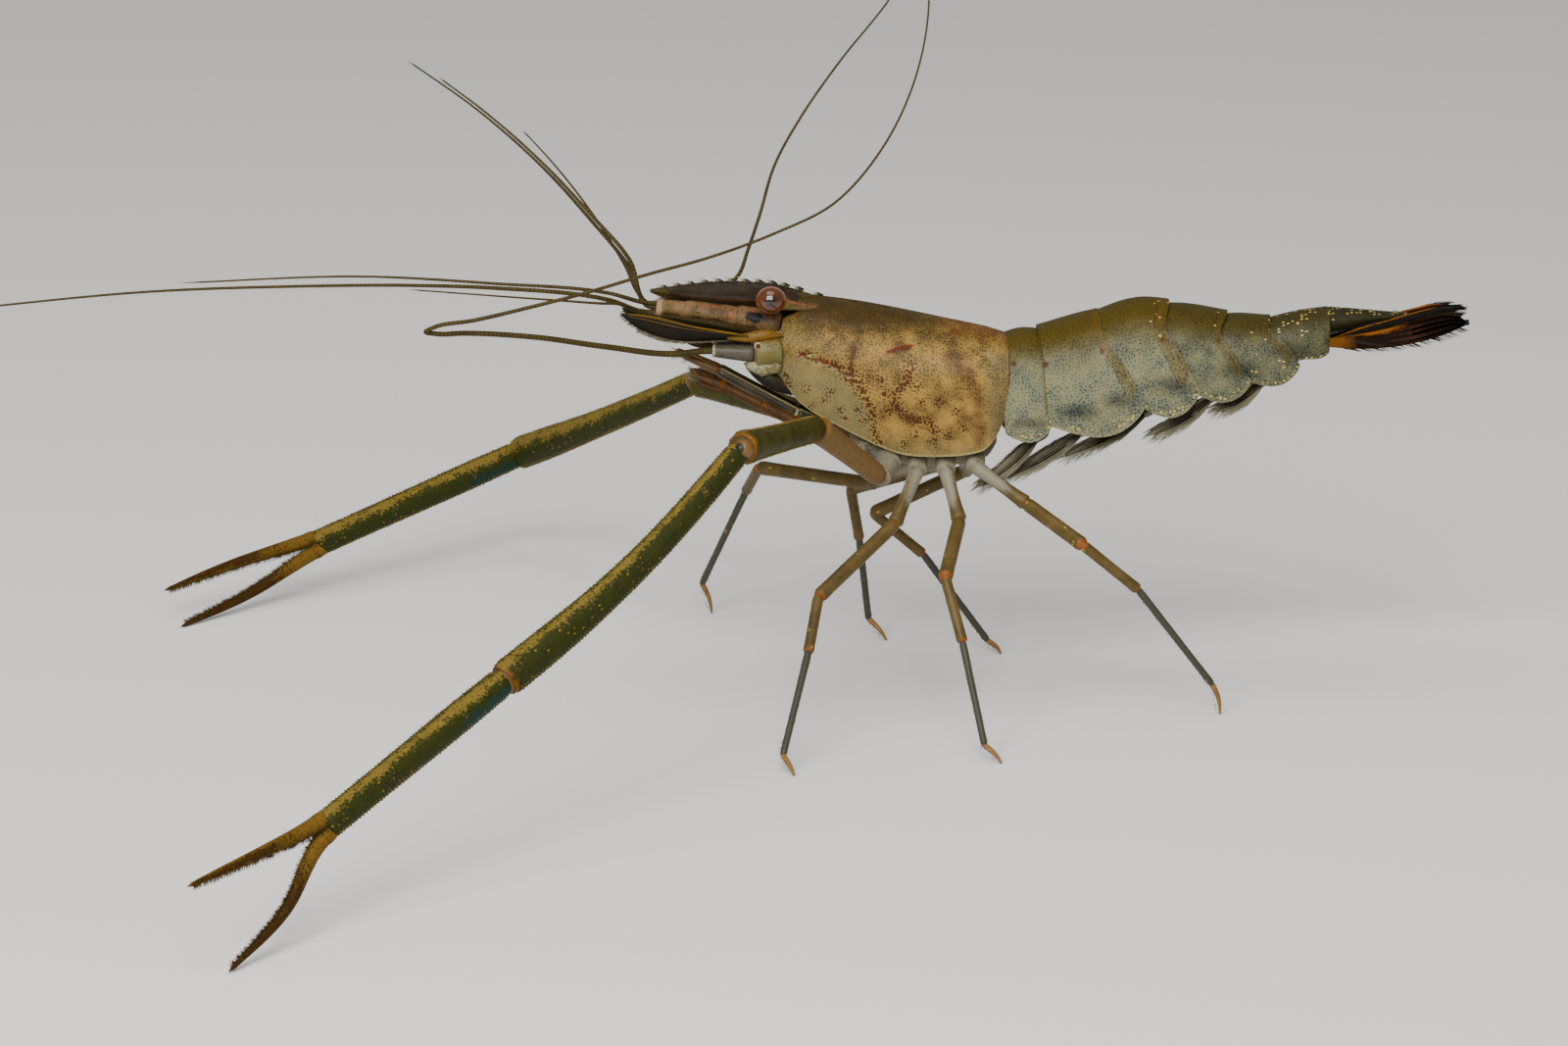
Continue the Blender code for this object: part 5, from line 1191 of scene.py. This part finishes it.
def make_pleopods():
    random.seed(13)
    fringe = []
    for index, (reach, drop) in enumerate(PLEOPOD_REACH):
        middle = mix(JOINTS[index][0], JOINTS[index + 1][0], 0.5) + 1.0
        tip = PLEURON_TIP[index]
        flank = read(ABDOMEN_FLANK, middle)
        belly = flank - (flank - tip) * 0.22
        for name, side in SIDES:
            y = PLEOPOD_STEM_PLACE * side
            spots = [Vector((middle, y, belly - 0.5)), Vector((middle + 1.2, y, tip + 2.4)),
                     Vector((middle + 1.3, y, tip + 0.8)), Vector((middle + 0.4, y, tip + 0.1))]
            path = smooth_path(spots, 5)
            radii = [even_radius(PLEOPOD_STEM_RADII, i / (len(path) - 1)) for i in range(len(path))]
            leg = limb(path, radii, 16, reference=(1, 0, 0), flat=0.6,
                       shade=lambda i, along, c, s: (0.2, 0.5, 0))
            root = Vector((middle + 0.8, y, tip + 0.4))
            for place, share, wide in PLEOPOD_LEAVES:
                def centre(u):
                    outward = mix(PLEOPOD_STEM_PLACE, place, min(1.0, u * 3))
                    return Vector((root.x + reach * share * u, outward * side,
                                   root.z + drop * share * u - 0.5 * math.sin(math.pi * u)))

                def width(u):
                    return wide * even_radius((0.35, 0.95, 1.0, 0.85, 0.55, 0.08), u)

                across = Vector((0.25, side * 0.8, -0.5)).normalized()
                def leaf_shade(u, s, lower):
                    return Vector((0.6 * bell(s - 0.5, 0.06), 0.6 * bell(s, 0.1), 0)), 0.0

                leaf(leg, lambda u: centre(u) + across * width(u), lambda u: centre(u) - across * width(u),
                     0.26, leaf_shade, rows=26, columns=20, ribs=(0.5,))
                for i in range(HAIR_COUNTS["swimming leaf"]):
                    u = random.uniform(0.15, 1.0)
                    sign = random.choice((-1, 1))
                    spot = centre(u) + across * width(u) * sign * random.uniform(0.7, 1.0)
                    way = Vector((reach, 0, drop)).normalized() * 1.4
                    way = way + across * sign * random.uniform(0.2, 0.7)
                    size = random.uniform(1.0, 1.9) * (1.0 if u < 0.9 else 0.8)
                    patch = (0.05 + 0.18 * index + 0.1 * u, 0.2 + 0.3 * side + 0.1 * share)
                    fringe.append(leaning_hair(spot, way, size, 0.035, (-0.1, 0, -0.12), patch))
            piece("swimming_leg_%d_%s" % (index + 1, name), leg, PLEOPOD_SHELL,
                  replaces=("pleopod_%d_%s" % (index + 1, name),))
    bristles("swimming_leg_fringe", fringe, PALE_BRISTLE)


# Legs, pincers and feelers

def coxa_root(index, side):
    """A leg's root point on the side of the sternum, and its direction there, in the standing frame."""
    x = COXA_PLACES[index]
    flank, tip = read(FLANK_LINE, x), read(MARGIN_LINE, x)
    top = flank - (flank - tip) * 0.85 - GAP
    middle = Vector((x, side * (STERNUM_TOP_WIDTH + STERNUM_BOTTOM_WIDTH) / 2, top - STERNUM_DEPTH / 2))
    slope = STERNUM_TOP_WIDTH - STERNUM_BOTTOM_WIDTH
    normal = Vector((0, side * STERNUM_DEPTH, -slope)).normalized()
    start = lean(middle - normal * 0.5)
    return start, lean(middle + normal * 0.5) - start


def cut_at_floor(shape):
    """Takes off what is under the floor and leaves a small flat there."""
    bmesh.ops.bisect_plane(shape, geom=shape.verts[:] + shape.edges[:] + shape.faces[:], dist=1e-5,
                           plane_co=(0, 0, 0.0), plane_no=(0, 0, -1), clear_outer=True)
    return closed(shape)


def make_walking_legs():
    random.seed(17)
    tufts = []
    for (name, index), joints in LEGS.items():
        start, way = coxa_root(index, dict(SIDES)[name])
        points = [start, start + way * (COXA_LENGTH + 0.8)] + [Vector(p) for p in joints]
        path, radii, near, number = podomeres(points, LEG_RADII)
        claw = points[-1] - points[-2]
        outward = Vector((claw.x, claw.y, 0)).normalized()
        path = [p + outward * (0.3 * math.sin(math.pi * min(n, claw.length - n) / claw.length))
                if k == 5 else p for p, n, k in zip(path, near, number)]

        def shade(i, along, c, s):
            joint = 0.9 * bell(near[i], 0.45) * (number[i] > 1)
            white = step(1.9, 0.9, number[i] + (0.5 if number[i] == 1 else 0))
            if number[i] == 1:
                white = step(9.5, 5.0, along)
            # The hips' sides are paler than their middle: a painted edge sheen of the clear shell
            white *= 0.5 + 0.5 * bell(abs(c) - 0.95, 0.4)
            return Vector((joint * 0.9, white, step(3.4, 3.9, float(number[i])) if number[i] < 5 else 0.4))

        edge = [0.7 * (number[i] == 5) for i in range(len(path))]
        leg = limb(path, radii, 18, reference=(0.2, 0.3, 1.0), shade=shade, edge=edge)
        piece("leg_%d_shell_%s" % (index, name), cut_at_floor(leg), LEG_SHELL, leaning=False,
              replaces=("leg_%d_%s" % (index, name),))
        for i in range(HAIR_COUNTS["leg"]):
            number_at = random.choice((2, 3, 4, 4, 4, 5))
            share = random.random()
            a, b = points[number_at], points[number_at + 1]
            radius = LEG_RADII[number_at][1]
            along = (b - a).normalized()
            spin = Vector((random.gauss(0, 1), random.gauss(0, 1), random.gauss(0, 1)))
            out = (spin - along * spin.dot(along)).normalized()
            root = mix(a, b, share) + out * radius * 0.85
            size = random.uniform(0.25, 0.5) * (1.5 if number_at == 4 and share > 0.85 else 1.0)
            if root.z < 0.6:
                continue
            tufts.append((root, out + along * 1.3, size, 0.03, (0, 0, 0),
                          (0.1 + 0.12 * number_at + 0.1 * share, 0.1 * index + 0.2)))
    bristles("leg_bristles", tufts, PALE_BRISTLE)


def cheliped_shade(near, shares, band, spread, low_tint=0.0):
    """Masks of a pincer leg's length: its joint, a band round the angle band(share), and teal low down."""
    def shade(i, along, c, s):
        angle = math.atan2(s, c)
        return Vector((bell(near[i], 0.4), 0.9 * bell(angle - band(shares[i]), spread),
                       low_tint * step(0.6, 0.1, shares[i]) * step(1.5, 2.4, angle)))
    return shade


def spinule_rows(spines, path, radii, reference, rows, pitch):
    """Rows of small spines round a limb, set along it and leaning toward its far end."""
    stations = frames(path, reference)
    total = stations[-1][3]
    distances = [row[3] for row in stations]
    for turn in rows:
        angle = math.radians(turn)
        at = SPINULE_SPAN[0] * total
        while at < SPINULE_SPAN[1] * total:
            at += pitch * random.uniform(0.75, 1.25)
            k = max(i for i in range(len(distances) - 1) if distances[i] <= min(at, total - 1e-6))
            share = (at - distances[k]) / max(distances[k + 1] - distances[k], 1e-6)
            if share > 1:
                break
            centre = mix(path[k], path[k + 1], share)
            radius = mix(radii[k], radii[k + 1], share)
            out = stations[k][1] * math.cos(angle) + stations[k][2] * math.sin(angle)
            way = (path[k + 1] - path[k]).normalized()
            spines.append((centre + out * (radius - 0.08), out + way * 0.6, random.uniform(0.2, 0.34), 0.085,
                           (0, 0, 0), (0.1 + 0.8 * at / total, (turn % 360) / 400)))


def make_chelipeds():
    random.seed(19)
    spines, beard, skins = [], [], bmesh.new()
    skin_layers = layers(skins)
    for name, side in SIDES:
        basis, ischium, merus, carpus, palm = [Vector(p) for p in CHELIPEDS[name]]
        start, way = coxa_root(2, side)
        far = name == "right"
        joints = [start, start + way * (COXA_LENGTH + 0.8), basis, ischium, merus]
        path, sizes, near, number = podomeres(joints, ARM_RADII)

        def arm_shade(i, along, c, s):
            if number[i] < 2:
                return Vector((0.3 * bell(near[i], 0.4), 0.0, 0.0))
            angle = math.atan2(s, c)
            if number[i] == 2:
                return Vector((0.85, 0.0, max(0.9 * bell(near[i], 0.4), 0.5 * bell(angle - 0.2, 0.5))))
            return Vector((0.5 * far * bell(angle - 1.4, 0.5), 0.7 * bell(angle - 0.15, 0.2) * far,
                           max(0.9 * bell(near[i], 0.7), 0.85 * bell(angle - 0.1, 0.45) * (not far))))

        white = [1.0 if number[i] < 2 else 0.0 for i in range(len(path))]
        arm = limb(path, sizes, 30, reference=LOOK, shade=arm_shade, edge=white)
        piece("pincer_arm_shell_" + name, arm, ARM_SHELL, leaning=False,
              replaces=("cheliped_arm_" + name,))
        keep = [i for i in range(len(path)) if number[i] == 3]
        spinule_rows(spines, [path[i] for i in keep], [sizes[i] for i in keep], LOOK,
                     ARM_SPINULE_ANGLES, ARM_SPINULE_PITCH)

        bow = Vector(CARPUS_BOW[name])
        count = 46
        shares = [i / (count - 1) for i in range(count)]
        path = [mix(merus, carpus, s) + bow * math.sin(math.pi * s) for s in shares]
        sizes = [even_radius(CARPUS_RADII, s) * (0.8 + 0.2 * min(1, s * 40))
                 * (0.86 + 0.14 * min(1, (1 - s) * 60)) for s in shares]
        near = [min(s, 1 - s) * (carpus - merus).length for s in shares]
        fore = limb(path, sizes, 36, reference=LOOK, shade=cheliped_shade(
            near, shares, lambda share: 0.8, 0.6 if far else 0.42))
        piece("pincer_carpus_shell_" + name, fore, OLIVE_SHELL, leaning=False,
              replaces=("cheliped_carpus_" + name,))
        spinule_rows(spines, path, sizes, LOOK, SPINULE_ANGLES, SPINULE_PITCH)

        along = (palm - carpus).normalized()
        fixed, moving = [[Vector(p) for p in line] for line in FINGERS[name]]
        spread = fixed[0] - moving[0]
        spread = (spread - along * spread.dot(along)).normalized()
        path = [mix(carpus, palm, s) for s in shares] + [palm + along * 0.5, palm + along * 0.8]
        sizes = [even_radius(PALM_RADII, s) * (0.8 + 0.2 * min(1, s * 40)) for s in shares] + [1.15, 0.0]
        near = [s * (palm - carpus).length for s in shares] + [40, 40]
        hand = limb(path, sizes, 36, reference=LOOK, shade=cheliped_shade(
            near, shares + [1, 1], (lambda share: 0.85) if far else (lambda share: mix(1.05, 0.75, share)),
            0.55 if far else 0.5, 0.9))
        piece("pincer_palm_shell_" + name, hand, OLIVE_SHELL, leaning=False,
              replaces=("cheliped_palm_" + name,))
        spinule_rows(spines, path[:-2], sizes[:-2], LOOK, SPINULE_ANGLES, SPINULE_PITCH)

        for kind, line, sign in (("fixed", fixed, 1), ("moving", moving, -1)):
            points = [palm - along * 0.3 + spread * FINGER_OFFSET * sign * 0.8,
                      palm + along * 1.4 + spread * FINGER_OFFSET * sign] + line
            path = smooth_path(points, 12)
            sizes = [even_radius(FINGER_RADII, i / (len(path) - 1)) for i in range(len(path))]
            sizes[-1] = 0.0
            finger = limb(path, sizes, 24, reference=spread * sign, shade=lambda i, d, c, s: Vector((
                max(step(4.0, 0.0, d), 0.72 * bell(c + 0.4, 0.6), 0.75 * step(13.0, 3.0, d)), 0.4, 0)))
            nodes = ("cheliped_finger_" + name,) if kind == "moving" else ()
            piece("pincer_%s_finger_%s" % (kind, name), cut_at_floor(finger), FINGER_SHELL,
                  leaning=False, replaces=nodes)
            rows = frames(path, spread * sign)
            for i in range(HAIR_COUNTS["finger"]):
                at = random.uniform(2.0, len(path) - 2.0)
                k = int(at)
                centre = mix(path[k], path[k + 1], at - k)
                angle = random.gauss(-math.pi / 2, 0.85)
                out = rows[k][1] * math.cos(angle) + rows[k][2] * math.sin(angle)
                root = centre + out * sizes[k] * 0.95
                if root.z < 0.5:
                    continue
                way = out + (path[k + 1] - path[k]).normalized() * random.uniform(0.1, 0.8)
                size = random.uniform(0.3, 0.6) * (1 - 0.4 * abs(angle + math.pi / 2))
                beard.append((root, way, max(size, 0.18), 0.03, (0, 0, -0.1 if root.z > 1.5 else 0.1),
                              (0.1 + 0.8 * at / len(path), 0.5 + angle / 10)))

        for spot, radius, way in ((merus, 1.38, (carpus - merus)), (carpus, 1.5, (palm - carpus))):
            made = bmesh.ops.create_uvsphere(skins, u_segments=28, v_segments=18, radius=radius)["verts"]
            turn = way.to_track_quat("Z", "Y").to_matrix()
            for vert in made:
                local = vert.co.copy()
                vert[skin_layers[1]] = Vector((0.4 + 0.3 * local.x / radius, 0, 0))
                vert.co = turn @ Vector((local.x, local.y, local.z * 0.9)) + spot
                vert[skin_layers[0]] = vert.co
            out = Vector((0.0, -1.0, 0.25)).normalized()
            if spot is carpus:
                continue
            for size, push, dark in ((0.95, 0.66, 0.0), (0.64, 0.92, 1.0)):
                made = bmesh.ops.create_uvsphere(skins, u_segments=24, v_segments=12, radius=size)["verts"]
                for vert in made:
                    vert[skin_layers[1]] = Vector((0.8 if not dark else 0, dark, 0))
                    vert.co = vert.co + spot + out * radius * push + Vector((0.0 if dark else 0.3, 0, 0))
                    vert[skin_layers[0]] = vert.co
    piece("joint_skins", skins, JOINT_SKIN, leaning=False)
    bristles("pincer_spinules", spines, GOLD_SPINE, sides=4)
    half = len(beard) // 2
    bristles("finger_bristles_left", beard[:half], BROWN_BRISTLE)
    bristles("finger_bristles_right", beard[half:], BROWN_BRISTLE)


def make_first_legs():
    random.seed(23)
    tufts = []
    for name, side in SIDES:
        start, way = coxa_root(1, side)
        joints = [start, start + way * 1.9] + [lean(mirrored(p, side)) for p in FIRST_LEG_LINE]
        path, sizes, near, number = podomeres(joints, FIRST_LEG_RADII)
        leg = limb(path, sizes, 18, shade=lambda i, along, c, s: Vector((
            0.7 * bell(near[i], 0.4), 0.9 * (number[i] < 2), 0.5 * step(0.2, -0.6, s))))
        finger = [lean(mirrored(p, side)) for p in FIRST_FINGER_LINE]
        limb(smooth_path(finger, 4), [0.34, 0.34, 0.33, 0.32, 0.3, 0.28, 0.25, 0.2, 0.0], 12, shape=leg)
        piece("first_leg_shell_" + name, leg, FIRST_LEG_SHELL, leaning=False,
              replaces=("first_leg_" + name,))
        tip = joints[-1]
        for i in range(HAIR_COUNTS["first leg"]):
            root = mix(joints[-2], tip, random.uniform(0.45, 1.0))
            spin = Vector((random.uniform(-1.3, -0.2), random.gauss(0, 0.5), random.gauss(-0.1, 0.6)))
            tufts.append((root, spin, random.uniform(0.5, 1.1), 0.035, (-0.1, 0, 0.05),
                          (0.3, 0.4 + 0.003 * i)))
    bristles("first_leg_bristles", tufts, PALE_BRISTLE)


def feeler(name, start, points, thick, thin, nodes=()):
    ahead = Vector((-1, 0, 0))
    path = smooth_path([start - ahead * 0.5, start + ahead * 0.6] + [Vector(p) for p in points], FEELER_STEPS)
    count = len(path)
    radii = [mix(thick, thin, (i / (count - 1)) ** 0.8) for i in range(count)]
    radii[-1] = 0.0
    piece(name + "_strand", limb(path, radii, 10), FEELER_SHELL, leaning=False, replaces=nodes)


def make_feelers():
    for name, side in SIDES:
        stem = lean(mirrored(ANTENNA_LINE[-1], side))
        title = "antenna_feeler_" + name
        feeler(title, stem, FEELERS[title], 0.4, 0.09, FEELER_NODES[title])
        spread = Vector(FEELER_SPREAD[name])
        for kind, share in (("outer", 1), ("inner", -1)):
            title = "antennule_feeler_%s_%s" % (kind, name)
            root = lean(mirrored(ANTENNULE_LINE[-1], side)) + spread * share
            feeler(title, root, FEELERS[title], 0.34, 0.09, (title,))
        root = lean(mirrored(ANTENNULE_LINE[-1], side)) + spread
        feeler("antennule_feeler_short_" + name, root, SHORT_BRANCHES[name], 0.28, 0.08)


make_carapace()
make_rostrum()
make_inner_body()
make_eyes()
make_head_pieces()
make_abdomen()
make_tail()
make_pleopods()
make_walking_legs()
make_chelipeds()
make_first_legs()
make_feelers()


# Floor, light and camera

def make_floor():
    shape = bmesh.new()
    bmesh.ops.create_grid(shape, x_segments=1, y_segments=1, size=4.0)
    mesh = bpy.data.meshes.new("floor")
    shape.to_mesh(mesh)
    shape.free()
    material, tree = empty_material("matt studio floor")
    shader = add(tree, "BsdfPrincipled", {"Base Color": linear("#ebe9e5"), "Roughness": 0.9})[0]
    add(tree, "OutputMaterial", {"Surface": shader})
    mesh.materials.append(material)
    floor = put("floor", mesh)


def soft_light(name, place, size, watts):
    lamp = bpy.data.lights.new(name, "AREA")
    lamp.shape = "RECTANGLE"
    lamp.size, lamp.size_y = size
    lamp.energy = watts
    thing = put(name, lamp)
    thing.location = place
    thing.rotation_euler = (Vector(LIGHT_TARGET) - Vector(place)).to_track_quat("-Z", "Y").to_euler()


# Each lamp's place and size in metres, and its watts
LIGHTS = (("key_left", (-0.29, -0.62, 0.5), (0.26, 0.5), 4.6),
          ("key_right", (0.01, -0.62, 0.5), (0.26, 0.5), 4.6),
          ("top", (-0.05, -0.1, 0.7), (0.5, 0.4), 1.6))
LIGHT_TARGET = (0.0, 0.02, 0.03)
ROOM_LIGHT = 0.3


def make_studio():
    world = bpy.data.worlds.new("soft room")
    world.use_nodes = True
    world.node_tree.nodes["Background"].inputs["Color"].default_value = (1.0, 1.0, 1.0, 1.0)
    world.node_tree.nodes["Background"].inputs["Strength"].default_value = ROOM_LIGHT
    bpy.context.scene.world = world
    for name, place, size, watts in LIGHTS:
        soft_light(name, place, size, watts)


# The camera: its height angle, distance in metres, what it looks at in mm, and its focal length in pixels
CAMERA_ANGLE = 15.0
CAMERA_DISTANCE = 0.75
CAMERA_TARGET = (9.11, 19.4, 19.3)
SENSOR_WIDTH = 36.0
FOCAL_PIXELS = 6975
PICTURE_PIXELS = 1600


def make_camera():
    """The photograph's view: side on, fifteen degrees above, from three quarters of a metre."""
    height = math.radians(CAMERA_ANGLE)
    target = Vector(CAMERA_TARGET) * MM
    forward = Vector((0, math.cos(height), -math.sin(height)))
    data = bpy.data.cameras.new("camera")
    data.sensor_width = SENSOR_WIDTH
    data.lens = SENSOR_WIDTH * FOCAL_PIXELS / PICTURE_PIXELS
    data.clip_start = 0.01
    camera = put("camera", data)
    camera.location = target - forward * CAMERA_DISTANCE
    camera.rotation_euler = forward.to_track_quat("-Z", "Y").to_euler()
    bpy.context.scene.camera = camera


make_floor()
make_studio()
make_camera()
